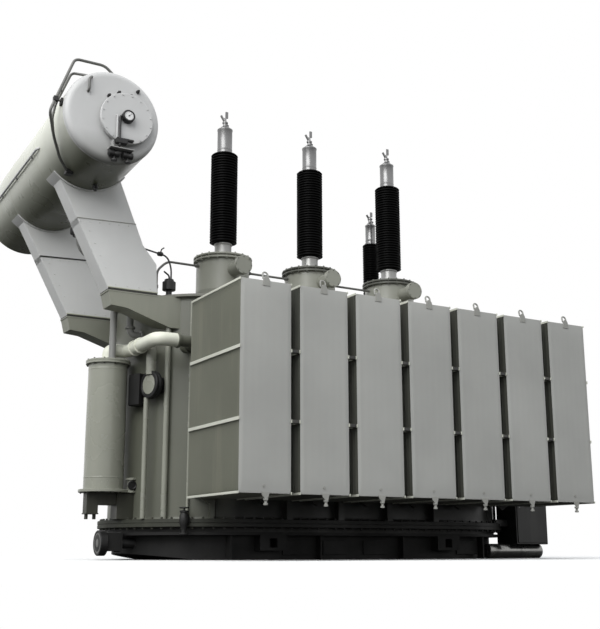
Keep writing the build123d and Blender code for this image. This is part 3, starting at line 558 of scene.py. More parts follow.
for number, x in enumerate(turret_xs, 1):
    body = turned(turret_profile, (x, 0, 0), sides=72)
    nozzle = turned(nozzle_profile, (x, 0, nozzle_z), (0, -1, 0), 36)
    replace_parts(skin(f"turret_{number}_shell", [body, nozzle], turret_paint), f"turret_{number}")
    edge_paint = turret_paint if number == 1 else rim_paint
    skin(f"turret_{number}_rim", [turned(rim_profile, (x, 0, 0), sides=72)], edge_paint)
    skin(f"turret_{number}_neck", [turned(neck_profile, (x, 0, 0), sides=40)], neck_metal)
    bolts = [bolt_heads(circle((x, -0.549, nozzle_z), 0.092, 8, level=False), 0.015, 0.001, (0, -1, 0)),
             bolt_heads(circle((x, -0.49, nozzle_z), 0.092, 8, level=False), 0.015, 0.012, (0, 1, 0)),
             bolt_heads(circle((x, 0, turret_top), 0.329, 20), 0.017, 0.013, (0, 0, -1)),
             bolt_heads(circle((x, 0, 3.384), 0.325, 20), 0.017, 0.013)]
    shanks = [turned(rod(0.006, 3.345, 3.366), spot, sides=6) for spot in circle((x, 0, 0), 0.331, 20)]
    skin(f"turret_{number}_bolts", bolts + shanks, edge_paint, smooth=False)


# Bushings: a stack of thin porcelain sheds under a nearly black glaze, fired as one with the core.
# The heads are cast and turned aluminium with a terminal stud and a clamp on top.

def glazed(name, colour):
    """Dark glaze: nearly black, very even, with a coat that shows the sky and a trace of dust."""
    material = bpy.data.materials.new(name)
    material.use_nodes = True
    tree = material.node_tree
    shader = tree.nodes["Principled BSDF"]
    place = wired(tree, "TexCoord").outputs["Object"]
    texture = wired(tree, "TexNoise", {"Vector": place, "Scale": 9, "Detail": 5}).outputs["Fac"]
    ramp = wired(tree, "ValToRGB", {0: texture})
    for element, position, share in zip(ramp.color_ramp.elements, (0.4, 0.8), (1.0, 1.6)):
        element.position = position
        element.color = (*[part * share for part in colour], 1)
    gloss = wired(tree, "MapRange", {"Value": texture, "To Min": 0.34, "To Max": 0.52})
    tree.links.new(ramp.outputs[0], shader.inputs["Base Color"])
    tree.links.new(gloss.outputs[0], shader.inputs["Roughness"])
    shader.inputs["Specular IOR Level"].default_value = 0.06
    return material


def shed_stack(x, y, low, height, core, rim, count, sides=48):
    """A shed stack: one profile of sheds, each a thin lip that slopes up to the core, turned once."""
    pitch = height / count
    lip = np.array([(core, 0.0), (core + 0.008, 0.3), (rim - 0.006, 0.24), (rim, 0.3), (rim, 0.42),
                    (rim - 0.008, 0.5), (core + 0.012, 0.78), (core, 0.88)])
    profile = np.concatenate([lip * [1, pitch] + [0, low + ring * pitch] for ring in range(count)])
    profile = np.concatenate([[(0, low)], profile, [(core, low + height), (0, low + height)]])
    return turned(profile, (x, y, 0), sides=sides)


porcelain = glazed("dark glaze", (0.0022, 0.0022, 0.0022))
head_metal = painted("cast head metal", (0.23, 0.23, 0.23), dust=(0.25, 0.25, 0.25), dirt=0.55, rough=0.3,
                     metal=0.75)


def head(x, y, low, collar, body, high, palm):
    """The metal head: collar, plain barrel and shoulders, turned; then the stud and a bent palm."""
    barrel = turned(capped([(collar, low), (collar, low + 0.018), (collar - 0.01, low + 0.024),
                            (collar - 0.012, low + 0.043), (body, low + 0.046), (body + 0.003, low + 0.06),
                            (body, low + 0.066), (body, high - 0.03), (body + 0.004, high - 0.024),
                            (body + 0.004, high - 0.01), (body - 0.012, high), (body * 0.45, high + 0.034),
                            (0.024, high + 0.04)]), (x, y, 0), sides=40)
    stud = turned([(0.024, high + 0.03), (0.024, high + 0.075), (0.034, high + 0.076), (0.034, high + 0.092),
                   (0.015, high + 0.094), (0.015, high + palm * 0.62), (0.0, high + palm * 0.62)], (x, y, 0),
                  sides=12)
    arm = tube(bent([(x - 0.055, y, high + palm * 0.72), (x - 0.012, y, high + palm * 0.42),
                     (x + 0.03, y, high + palm * 0.24), (x + 0.045, y, high + 0.05)], 0.03), 0.0135, 8)
    flag = boxes([x + 0.02, y, high + palm * 0.8], [0.034, 0.012, palm * 0.36], 0.003)
    return [barrel, stud, arm, flag]


shed_low, head_low = 3.577, 4.678
heads = []
for number, x in enumerate(turret_xs, 1):
    sheds = skin(f"bushing_{number}_sheds",
                 [shed_stack(x, 0, shed_low, head_low - shed_low, 0.136, 0.159, 34)], porcelain, "porcelain")
    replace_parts(sheds, f"bushing_{number}")
    heads += head(x, 0, head_low, 0.1, 0.088, 5.009, 0.235)
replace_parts(skin("bushing_heads", heads, head_metal, "cap_metal"), "bushing_caps")


# Neutral and low-voltage bushings: the neutral one stands on its own narrow turret behind the row.
# The low-voltage ones are short, on round plates along the back of the cover.

x, y = 1.323, 0.63
ring_radius = 0.215
neutral_profile = [(0.15, cover_top), (0.195, cover_top), (0.195, 2.698), (0.172, 2.7), (0.17, 2.704),
                   (0.17, 3.01), (0.174, 3.014), (0.212, 3.018), (ring_radius, 3.022), (ring_radius, 3.036),
                   (0.211, 3.039), (0.211, 3.042), (ring_radius, 3.045), (ring_radius, 3.056),
                   (0.211, 3.0595), (0.0, 3.0595)]
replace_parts(skin("neutral_turret_shell", [turned(neutral_profile, (x, y, 0), sides=56)], turret_paint),
            "neutral_turret")
spots = circle((x, y, 3.0575), 0.197, 12)
bolts = [bolt_heads(spots, 0.016, 0.013), bolt_heads(spots - [0, 0, 0.04], 0.016, 0.013, (0, 0, -1))]
skin("neutral_turret_bolts", bolts, rim_paint, smooth=False)
sheds = skin("neutral_sheds", [shed_stack(x, y, 3.06, 1.045, 0.09, 0.108, 32, 40)], porcelain, "porcelain")
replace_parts(sheds, "neutral_bushing")
caps = skin("neutral_head", head(x, y, 4.105, 0.078, 0.066, 4.39, 0.19), head_metal, "cap_metal")
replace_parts(caps, "neutral_cap")

low_y = 0.76
low_voltage, plates, caps = [], [], []
for x in (-0.52, 0.0, 0.52):
    low_voltage.append(shed_stack(x, low_y, 2.73, 0.3, 0.05, 0.075, 5, 32))
    plates.append(turned(capped([(0.145, cover_top), (0.15, 2.684), (0.15, 2.706), (0.145, 2.71),
                                 (0.06, 2.712), (0.06, 2.735)]), (x, low_y, 0), sides=36))
    caps.append(turned([(0.0, 3.025), (0.045, 3.025), (0.045, 3.045), (0.022, 3.048), (0.022, 3.12),
                        (0, 3.124)], (x, low_y, 0), sides=20))
    plates.append(bolt_heads(circle((x, low_y, 2.708), 0.128, 12), 0.014, 0.011))
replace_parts(skin("low_voltage_stacks", low_voltage, porcelain, "porcelain"), "low_voltage_bushings")
skin("low_voltage_plates", plates, turret_paint)
skin("low_voltage_caps", caps, head_metal, "cap_metal")


# Conservator: a rolled and welded steel drum that takes up the oil as it warms and cools.
# It slopes down to its far end and is closed by flat ends with rounded edges.

drum_x, drum_z = -3.088, 4.09
drum_radius, drum_slope = 0.475, math.radians(2.2)


def drum_skin(name, grids, *looks, **settings):
    """A piece drawn on a level drum at the origin, tilted with the drum and moved to its place."""
    tilt = np.array(Matrix.Rotation(-drum_slope, 3, "X")).T
    return skin(name, [grid @ tilt + [drum_x, 0, drum_z] for grid in grids], *looks, **settings)


# Painted shade: the drum's underside next to the near end and the near end's lower part are darkened where
# shadow falls.
drum_paint = painted("conservator paint", (0.6, 0.612, 0.53), dust=(0.46, 0.45, 0.37), dirt=0.08, rough=0.28,
                     shade_patch=((-3.62, -3.3), (drum_z + 0.08, drum_z - 0.26), 0.95, (0.066, 0.07, 0.038)))
end_paint = painted("conservator end paint", (0.5, 0.502, 0.495), dust=(0.42, 0.41, 0.39), dirt=0.12,
                    rough=0.4, shade_patch=((-3.6, -3.35), (drum_z - 0.12, drum_z - 0.38), 0.72, (0.1, 0.1, 0.085)))
shell_profile = [(0.473, -1.488), (drum_radius, -1.486)]
for seam in (-0.5, 0.5):
    shell_profile += [(drum_radius, seam - 0.014), (drum_radius, seam - 0.01), (0.4775, seam - 0.004),
                      (0.4775, seam + 0.004), (drum_radius, seam + 0.01), (drum_radius, seam + 0.014)]
shell_profile += [(drum_radius, 1.486), (0.473, 1.488)]
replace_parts(drum_skin("conservator_drum", [turned(shell_profile, (0, 0, 0), (0, 1, 0), 96)], drum_paint),
            "conservator_shell")
knuckle = np.linspace(0, math.pi / 2, 9)
dish = np.column_stack([0.41 + 0.065 * np.cos(knuckle), 1.5 + 0.051 * np.sin(knuckle)])
dish = np.concatenate([[(0.468, 1.488), (drum_radius, 1.489)], dish,
                       [(0.4, 1.551), (0.2, 1.551), (0.0, 1.551)]])
for side, label, paint in ((-1, "near", end_paint), (1, "far", drum_paint)):
    end = drum_skin(f"conservator_{label}_dish", [turned(dish, (0, 0, 0), (0, side, 0), 96)], paint)
    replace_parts(end, f"conservator_{label}_end")
    weld = turned([(0.47, 1.484), (0.478, 1.487), (0.478, 1.492), (0.47, 1.496)], (0, 0, 0), (0, side, 0), 96)
    drum_skin(f"conservator_{label}_weld", [weld], paint)


# Manhole on the near end: a short neck with a thick bolted cover, set off from the drum's axis.
# The level gauge sits on the cover, with a pipe down to the sampling valves below.

hole_x, hole_z, hole_radius, cover_y = 0.115, -0.027, 0.262, -1.62
cover = turned([(0.222, -0.1), (0.224, 0.0), (0.258, 0.004), (hole_radius, 0.008), (hole_radius, 0.022),
                (0.259, 0.024), (0.259, 0.028), (hole_radius, 0.03), (hole_radius, 0.038), (0.258, 0.042),
                (0.0, 0.042)], (hole_x, cover_y + 0.042, hole_z), (0, -1, 0), 64)
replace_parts(drum_skin("manhole_cover", [cover], end_paint), "conservator_cover")
spots = circle((hole_x, cover_y + 0.002, hole_z), 0.243, 16, level=False, start=0.5)
drum_skin("manhole_bolts", [bolt_heads(spots, 0.014, 0.008, (0, -1, 0))], end_paint, smooth=False)
dark_metal = painted("black fitting paint", (0.007, 0.007, 0.007), dust=(0.035, 0.035, 0.031), dirt=0.3,
                     rough=0.5)
stud_spots = [(-0.053, 0.201), (0.046, 0.253), (0.166, 0.243), (0.238, 0.308), (0.342, 0.064)]
studs = [turned([(0, 0), (0.018, 0), (0.018, 0.026), (0.011, 0.028), (0.011, 0.046), (0, 0.048)],
                (x, -1.545, z), (0, -1, 0), 10) for x, z in stud_spots]
drum_skin("end_studs", studs, dark_metal, "valve_black")
gauge_at = (hole_x, cover_y, hole_z + 0.005)
housing = turned([(0.0, -0.01), (0.06, 0.0), (0.062, 0.006), (0.062, 0.052), (0.058, 0.058), (0.046, 0.06),
                  (0.044, 0.052), (0.0, 0.052)], gauge_at, (0, -1, 0), 40)
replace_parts(drum_skin("gauge_housing", [housing], dark_metal, "dial_metal"), "level_gauge")
dial_white = painted("dial white", (0.72, 0.72, 0.71), dirt=0.05, rough=0.3)
dial = turned([(0.0, 0.0545), (0.0435, 0.0545), (0.0435, 0.05)], gauge_at, (0, -1, 0), 36)
drum_skin("gauge_dial", [dial], dial_white, "dial_metal")
marks = boxes([[hole_x + 0.036 * math.cos(turn), cover_y - 0.0552, hole_z + 0.005 + 0.036 * math.sin(turn)]
               for turn in np.radians(np.arange(-60, 241, 30))], [0.004, 0.0015, 0.004], 0.0003)
needle = tube([(hole_x - 0.008, cover_y - 0.0575, hole_z - 0.003),
               (hole_x + 0.022, cover_y - 0.0575, hole_z + 0.027)], 0.0016, 6)
hub = turned([(0.0, 0.06), (0.006, 0.06), (0.007, 0.054)], gauge_at, (0, -1, 0), 12)
drum_skin("gauge_needle", [marks, needle, hub], dark_metal, "dial_metal")

pipe_x, pipe_y = hole_x - 0.078, cover_y - 0.025
drop = bent([(hole_x - 0.03, pipe_y, hole_z), (pipe_x, pipe_y, hole_z), (pipe_x, pipe_y, -0.31)], 0.02)
back = bent([(pipe_x, pipe_y, -0.29), (pipe_x, pipe_y, -0.345), (pipe_x, -1.52, -0.345)], 0.03)
drum_skin("gauge_pipe", [tube(drop, 0.011, 10), tube(back, 0.011, 10)], dark_metal, "valve_black")
second_x = pipe_x - 0.026
second = bent([(second_x, -1.615, -0.02), (second_x, -1.64, -0.02), (second_x, -1.64, -0.26)], 0.02)
drum_skin("gauge_second_pipe", [tube(second, 0.008, 10)], end_paint)
shelf = [boxes([pipe_x + 0.03, -1.59, -0.352], [0.235, 0.11, 0.01], 0.002),
         boxes([pipe_x - 0.055, -1.6, -0.315], [0.014, 0.03, 0.085], 0.002)]
drum_skin("sampling_shelf", shelf, end_paint, smooth=False)
junction = [boxes([pipe_x + 0.02, cover_y - 0.015, -0.285], [0.11, 0.05, 0.06], 0.008),
            boxes([pipe_x + 0.09, cover_y - 0.015, -0.262], [0.1, 0.03, 0.022])]
drum_skin("sampling_junction", junction, dark_metal, "valve_black", smooth=False)
body_profile = capped([(0.02, -0.06), (0.034, -0.052), (0.036, -0.02), (0.026, 0.0), (0.036, 0.02),
                       (0.034, 0.045), (0.02, 0.052)])
stem_profile = [(0, 0.045), (0.01, 0.045), (0.01, -0.05), (0.03, -0.052), (0.03, -0.066), (0, -0.068)]
valve_parts = []
for x in (pipe_x - 0.03, pipe_x + 0.105):
    valve_parts += [turned(body_profile, (x, -1.585, -0.398), (1, 0, 0), 14),
                    turned(stem_profile, (x, -1.585, -0.405), (0, 0, 1), 12)]
drum_skin("sampling_valves", valve_parts, dark_metal, "valve_black")


# Guard rail and thin pipe on the drum: bent steel tube, clamped to the drum near its end.
# Two bent tubes and two rungs make the rail; the thin pipe along the side lets air into the drum.

rail_paint = painted("rail paint", (0.12, 0.12, 0.112), dust=(0.25, 0.24, 0.2), dirt=0.3, rough=0.4)
rail_y = -1.48
leg = [(-0.5, -1.3, -0.2), (-0.38, -1.12, -0.34), (-0.25, -0.995, -0.43)]
outer = bent([(0.028, rail_y, 0.458), (-0.076, rail_y, 0.55), (-0.375, rail_y, 0.55),
              (-0.596, rail_y, -0.047)] + leg, 0.05)
inner = bent([(-0.258, -1.545, 0.2), (-0.258, -1.585, 0.21), (-0.258, -1.585, 0.33), (-0.205, -1.52, 0.385),
              (-0.385, -1.42, 0.425), (-0.52, -1.4, 0.08), (-0.54, -1.37, -0.06), leg[0]], 0.04)
rungs = [tube([(-0.546, rail_y, 0.088), (-0.466, -1.44, 0.088)], 0.011, 8),
         tube([(-0.5, rail_y, 0.215), (-0.462, -1.27, 0.24)], 0.011, 8)]
rails = [tube(outer, 0.014, 12), tube(inner, 0.013, 12)]
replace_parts(drum_skin("end_rail", rails + rungs, rail_paint), "guard_rail")
clamps = boxes([[-0.545, rail_y, 0.088], [-0.478, -1.44, 0.088]], [[0.044, 0.044, 0.05], [0.022, 0.06, 0.07]])
foot_clamp = boxes([-0.25, -1.0, -0.42], [0.07, 0.08, 0.05], 0.006)
drum_skin("rail_clamps", [clamps, foot_clamp], dark_metal, "valve_black", smooth=False)
line_turn = math.radians(190)
line_side = np.array([math.cos(line_turn), 0, math.sin(line_turn)])
line_ends = ((0.47, -0.7), (0.497, -0.66), (0.497, 1.42), (0.465, 1.46))
line = bent([line_side * radius + [0, y, 0] for radius, y in line_ends], 0.03)
line_clips = [boxes(line_side * 0.486 + [0, y, 0], [0.03, 0.024, 0.04], 0.003)
              for y in (-0.45, 0.15, 0.75, 1.3)]
drum_skin("drum_air_line", [tube(line, 0.013, 10)] + line_clips, end_paint)


# Arms: box girders of welded plate under the drum, each made in two lengths with a lapped joint.
# A curved saddle plate carries the drum, and a bolted foot plate joins the arm to its bracket.

arm_paint = painted("arm paint", (0.62, 0.622, 0.606), dust=(0.5, 0.49, 0.44), dirt=0.15, rough=0.42)
pad_paint = painted("foot plate paint", (0.42, 0.43, 0.33), dust=(0.4, 0.39, 0.31), dirt=0.2, rough=0.45)
# Near-black paint for the joints: partly their filler, partly painted shade under the foot plates and the
# lapped steps.
joint_and_shade_paint = painted("joint filler and shade paint", (0.022, 0.022, 0.018), dust=(0.07, 0.07, 0.05), dirt=0.3)

arm_ys = (-0.68, 0.68)
foot_z, foot_left, foot_x, foot_right = 2.65, -2.812, -2.5485, -2.285
knee_z, knee_x = 3.156, -2.458
arc_radius, arc_first, arc_turn = 0.47, 233, 87


def girder(y, centre_z, levels, sag, depth, edge=0.006):
    """A box girder: rows from the left edge line to the right one, carried round the box's depth.

    The left edge is straight from the foot to the drum, the right one runs over the knee and the
    turn. A row's points lie on the line between its two ends, and bend by the sag towards the
    circle of the drum. Each row is closed round the front and the back, and both ends are shut.
    """
    across = np.array([0.0, 0.014, 0.2, 0.4, 0.6, 0.8, 0.986, 1.0])
    inset = np.array([edge, 0, 0, 0, 0, 0, 0, edge])
    levels, sag = np.asarray(levels, float), np.asarray(sag, float)
    turn = np.radians(arc_first + arc_turn * across)
    arc = np.array([drum_x, centre_z]) + arc_radius * np.stack([np.cos(turn), np.sin(turn)], -1)
    left = np.stack([np.interp(levels[:, 0], [foot_z, arc[0, 1]], [foot_left, arc[0, 0]]), levels[:, 0]], -1)
    right = np.stack([np.interp(levels[:, 1], [foot_z, 2.97, knee_z, arc[-1, 1]],
                                [foot_right, -2.304, knee_x, arc[-1, 0]]), levels[:, 1]], -1)
    chord = left[:, None] + across[None, :, None] * (right - left)[:, None]
    flat = arc[:1] + across[:, None] * (arc[-1:] - arc[:1])
    plane = chord + sag[:, None, None] * (arc - flat)[None]
    loop = np.concatenate([plane, plane[:, ::-1]], 1)
    row_y = np.concatenate([y - depth + inset, (y + depth - inset)[::-1]])
    grid = np.stack([loop[..., 0], np.broadcast_to(row_y, loop.shape[:2]), loop[..., 1]], -1)
    shut = grid[[0, -1]].copy()
    shut[..., 1] = y
    return np.concatenate([shut[:1], grid, shut[1:]])


def curved_plate(y_low, y_high, centre_z, inner_r, outer_r, first, last):
    """A plate bent round the drum: a rectangle of radius and depth carried through the angle."""
    turn = np.radians(np.linspace(first, last, 25))
    corners = [(inner_r, y_low), (outer_r, y_low), (outer_r, y_high), (inner_r, y_high)]
    rows = [np.column_stack([drum_x + radius * np.cos(turn), np.full(25, y),
                             centre_z + radius * np.sin(turn)]) for radius, y in corners]
    plate = np.stack(rows, 1)
    middle = plate.mean(1, keepdims=True)[[0, -1]].repeat(4, 1)
    return np.concatenate([middle[:1], plate, middle[1:]])


def seam_strip(y, left, right, high, thick=0.008):
    """A strip along a lapped joint, partly filler and partly painted shade under the step: flat, from the left
    point to the right one of a face.
    """
    ends = np.array([left, right])
    corners = [(-high / 2, -thick), (high / 2, -thick), (high / 2, thick), (-high / 2, thick)]
    strip = np.stack([np.column_stack([ends[:, 0], np.full(2, y + shift), ends[:, 1] + rise])
                      for rise, shift in corners], 1)
    middle = strip.mean(1, keepdims=True).repeat(4, 1)
    return np.concatenate([middle[:1], strip, middle[1:]])


arms, saddles, feet, joints, seams, arm_bolts = [], [], [], [], [], []
for y in arm_ys:
    centre_z = drum_z - y * math.tan(drum_slope)
    top_left, top_right = [centre_z + arc_radius * math.sin(math.radians(turn))
                           for turn in (arc_first, arc_first + arc_turn)]
    seam_left, seam_right = centre_z - 0.778, centre_z - 0.75
    lower = [(2.652, 2.652), (2.97, 2.97), (3.11, knee_z), (seam_left, seam_right)]
    upper = [(seam_left - 0.05, seam_right - 0.05), (seam_left + 0.02, seam_right + 0.02), (3.5, 3.57),
             (top_left, top_right)]
    arms += [girder(y, centre_z, lower, [0, 0, 0, 0], 0.12),
             girder(y, centre_z, upper, [0, 0, 0.3, 1], 0.113)]
    saddles.append(curved_plate(y - 0.135, y + 0.135, centre_z, 0.472, 0.486, 225, 326))
    feet.append(boxes([foot_x, y, 2.669], [0.534, 0.25, 0.012], 0.002))
    joints.append(boxes([foot_x, y, foot_z], [0.528, 0.244, 0.026], 0.001))

    def left_edge(level):
        return np.interp(level, [foot_z, top_left], [foot_left, -3.371])

    # Painted shade under the lapped joint's step: a strip in the darker turret paint on the near arm, and in
    # the near-black joint paint on the far arm, where it is partly filler.
    strips, seam_high = (seams, 0.006) if y < 0 else (joints, 0.016)
    seam_x, right_x = left_edge(seam_left), np.interp(seam_right, [knee_z, top_right], [knee_x, -2.728])
    strips.append(seam_strip(y - 0.1175, (seam_x, seam_left), (right_x, seam_right), seam_high))
    arm_bolts += [[foot_left + 0.527 * share, y - 0.1195, 2.7] for share in (0.15, 0.38, 0.62, 0.85)]
    arm_bolts += [[seam_x + share * (-2.59 - seam_x), y - 0.1195, seam_left - 0.03 + 0.028 * share]
                  for share in np.linspace(0.06, 0.94, 6)]
    arm_bolts += [[left_edge(level) + 0.075, y - 0.1195, level] for level in (2.86, 2.98, 3.1, 3.22)]
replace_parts(skin("arm_girders", arms, arm_paint), "conservator_arms")
skin("arm_saddles", saddles, arm_paint)
skin("arm_foot_plates", feet, pad_paint, smooth=False)
# Painted shade: a near-black band between foot plate and bracket, partly the joint and partly the shade under
# the plate.
skin("arm_foot_gaskets", joints, joint_and_shade_paint, smooth=False)
skin("arm_seam", seams, turret_paint, smooth=False)
skin("arm_bolts", [bolt_heads(arm_bolts, 0.011, 0.007, (0, -1, 0))], arm_paint, smooth=False)
drain = turned([(0.0, 0.06), (0.02, 0.06), (0.02, 0.0), (0.03, -0.002), (0.03, -0.022), (0.018, -0.024),
                (0.018, -0.05), (0.0, -0.052)], (-3.045, -0.96, 3.64), sides=14)
skin("drum_drain", [drain], dark_metal, "valve_black")


# Brackets: welded boxes on the tank's round end that the arms stand on.
# Each has a plate top, a welded rib on its underside and bolts to the arm's foot.

bracket_paint = painted("bracket paint", (0.24, 0.245, 0.198), dust=(0.3, 0.29, 0.24), dirt=0.2)
coat(bracket_paint, "arm_brackets")
bracket_tops = boxes([[foot_x, y, 2.634] for y in arm_ys], [0.532, 0.247, 0.014], 0.002)
spots = [[x, y + side, 2.628] for y in arm_ys for x in (-2.76, -2.62, -2.48, -2.34) for side in (-0.1, 0.1)]
skin("bracket_tops", [bracket_tops], bracket_paint, smooth=False)
skin("bracket_bolts", [bolt_heads(spots, 0.014, 0.01, (0, 0, -1))], bracket_paint, smooth=False)


# Oil pipe and gas relay: the pipe from the drum's underside to the cover runs through the relay.
# The relay is a small black cast housing between two flanges, with a glass and a cable box.

# Painted highlight: this near-white paint on the filter's high pipe stands for the light falling on it.
lit_pipe_paint = painted("pale pipe paint", (0.74, 0.75, 0.64), dust=(0.58, 0.56, 0.46), dirt=0.2, rough=0.42)
relay_at = (-2.908, 0, 3.465)
oil_x = -2.133
oil_way = bent([(-2.998, 0, 3.64), relay_at, (-2.863, 0, 3.24), (oil_x, 0, 2.93), (oil_x, 0, 2.682)], 0.11, 9)
collar_profile = capped([(0.06, -0.014), (0.063, -0.01), (0.063, 0.01), (0.06, 0.014)])
collar_at = [((oil_x, 0, 2.695), (0, 0, 1)), ((-2.5, 0, 3.086), (-0.92, 0, 0.39)),
             ((-2.975, 0, 3.585), (-0.46, 0, 0.89))]
collars = [turned(collar_profile, spot, way, 24) for spot, way in collar_at]
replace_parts(skin("oil_pipe_run", [tube(oil_way, 0.038, 20)] + collars, end_paint), "oil_pipe")
relay_parts = [turned(capped([(0.07, -0.072), (0.073, -0.068), (0.073, -0.056), (0.055, -0.052), (0.052, 0.0),
                              (0.055, 0.052), (0.073, 0.056), (0.073, 0.068), (0.07, 0.072)]), relay_at,
                      (0.3, 0, -0.954), 28), boxes(relay_at, [0.13, 0.13, 0.09], 0.012),
               boxes([-2.915, 0.0, 3.52], [0.08, 0.09, 0.036], 0.006)]
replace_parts(skin("relay_housing", relay_parts, dark_metal, "valve_black"), "gas_relay")
glass = turned(capped([(0.026, 0.0655), (0.026, 0.069), (0.022, 0.07)]), (-2.908, 0, 3.463), (0, -1, 0), 20)
skin("relay_glass", [glass], head_metal, "valve_black")


# Oil filter: a closed cylinder beside the tank's round end, on a square leg and a flanged foot.
# A wide pipe leaves the lid for the tank wall, and a thin one loops over from the lid.

filter_paint = painted("filter paint", (0.278, 0.284, 0.235), dust=(0.32, 0.31, 0.26), dirt=0.2, rough=0.22)
leg_paint = painted("leg paint", (0.04, 0.041, 0.029), dust=(0.11, 0.105, 0.08), dirt=0.3)
x, y = -2.605, -0.3
can_radius, lid_radius, foot_radius = 0.2, 0.229, 0.248
can_profile = [(0.0, 0.69), (0.197, 0.69), (can_radius, 0.694)]
for seam in (0.806, 1.906):
    can_profile += [(can_radius, seam - 0.01), (can_radius, seam - 0.006), (0.2015, seam - 0.003),
                    (0.2015, seam + 0.003), (can_radius, seam + 0.006), (can_radius, seam + 0.01)]
can_profile += [(can_radius, 1.971), (0.197, 1.975), (0.0, 1.975)]
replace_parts(skin("filter_can", [turned(can_profile, (x, y, 0), sides=64)], filter_paint), "filter_body")
lid_profile = capped([(0.204, 1.96), (0.226, 1.962), (lid_radius, 1.965), (lid_radius, 1.981), (0.226, 1.983),
                      (0.226, 1.986), (lid_radius, 1.988), (lid_radius, 2.001), (0.225, 2.005)])
foot_profile = capped([(0.244, 0.66), (foot_radius, 0.664), (foot_radius, 0.686), (0.244, 0.69),
                       (0.206, 0.692)])
flanges = [turned(profile, (x, y, 0), sides=56) for profile in (lid_profile, foot_profile)]
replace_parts(skin("filter_lid_and_foot", flanges, filter_paint), "filter_flanges")
lid_ring, foot_ring = circle((x, y, 1.962), 0.214, 12), circle((x, y, 0.662), 0.226, 12)
bolts = [bolt_heads(lid_ring, 0.015, 0.012, (0, 0, -1)), bolt_heads(lid_ring + [0, 0, 0.041], 0.015, 0.012),
         bolt_heads(foot_ring, 0.015, 0.012, (0, 0, -1))]
skin("filter_bolts", bolts, bolt_paint, smooth=False)

leg_x = -2.729
legs = [boxes([leg_x, y, 0.5525], [0.118, 0.118, 0.215], 0.006),
        boxes([-2.58, y, 0.5975], [0.19, 0.114, 0.122], 0.005),
        boxes([-2.34, y, 0.5275], [0.29, 0.18, 0.264], 0.006),
        boxes([leg_x, y, 0.451], [0.13, 0.13, 0.012], 0.002)]
prongs = [turned(rod(0.018, 0.396, 0.446), (prong_x, y, 0), sides=12) for prong_x in (-2.77, -2.688)]
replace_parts(skin("filter_leg", legs, leg_paint, smooth=False), "filter_pipes")
skin("filter_leg_bolts", prongs, leg_paint)


def pipe_rings(spots, radius, half):
    """Flanges on a pipe: a bevelled ring at each spot, turned to the way that the pipe runs there."""
    profile = capped([(radius - 0.003, -half), (radius, 0.003 - half), (radius, -0.002),
                      (radius - 0.003, -0.001), (radius - 0.003, 0.001), (radius, 0.002),
                      (radius, half - 0.003), (radius - 0.003, half)])
    return [turned(profile, spot, way, 28) for spot, way in spots]


high_z, cross_x, out_y, wall_x = 2.125, -2.405, -1.128, -1.976
vent_x, vent_y, vent_z = -2.425, -0.41, 2.286
high_way = bent([(x, y, 2.0), (x, y, high_z), (cross_x, -0.31, high_z), (cross_x, out_y, high_z),
                 (-2.195, out_y, high_z)], 0.095, 9)
wall_way = bent([(-2.2, out_y, high_z), (wall_x, out_y, high_z), (wall_x, -0.83, high_z)], 0.095, 9)
vent_way = bent([(x, vent_y, 2.0), (x, vent_y, 2.576), (vent_x, vent_y, 2.576), (vent_x, vent_y, vent_z),
                 (-2.264, vent_y, vent_z)], 0.075, 9)
high_rings = pipe_rings([((x, y, 2.018), (0, 0, 1)), ((cross_x, -0.53, high_z), (0, 1, 0)),
                         ((cross_x, -0.69, high_z), (0, 1, 0))], 0.082, 0.014)
vent_rings = pipe_rings([((x, vent_y, 2.014), (0, 0, 1)), ((vent_x, vent_y, 2.36), (0, 0, 1)),
                         ((-2.3, vent_y, vent_z), (1, 0, 0))], 0.055, 0.012)
wall_rings = pipe_rings([((-2.185, out_y, high_z), (1, 0, 0)), ((wall_x, -0.93, high_z), (0, 1, 0))], 0.08,
                        0.014)
# Painted light and shade on one pipe: pale where it is lit, and in the dark tank paint past the bracket, where
# it lies in shade.
skin("filter_high_pipe", [tube(high_way, 0.068, 28)] + high_rings, lit_pipe_paint)
skin("filter_wall_pipe", [tube(wall_way, 0.06, 28)] + wall_rings, tank_paint)
skin("filter_vent_pipe", [tube(vent_way, 0.036, 20)] + vent_rings, end_paint)
cock_at = (-2.34, -0.372, 0.735)
cock = turned(capped([(0.05, -0.075), (0.054, -0.071), (0.054, -0.055), (0.038, -0.05), (0.036, 0.05),
                      (0.054, 0.055), (0.054, 0.071), (0.05, 0.075)]), cock_at, (0, 0, 1), 24)
bore = turned(capped([(0.044, 0.03), (0.046, 0.034), (0.046, 0.052), (0.038, 0.054), (0.03, 0.046)]), cock_at,
              (0, -1, 0), 20)
skin("filter_drain_cock", [cock], filter_paint)
skin("filter_drain_bore", [bore], dark_metal, "valve_black")


# Round valve on the tank's round end: a black cast disc with a pale face, on a short stub.
# A wide riser leaves it for the pipe above, and a black thermometer box hangs on the wall beside it.

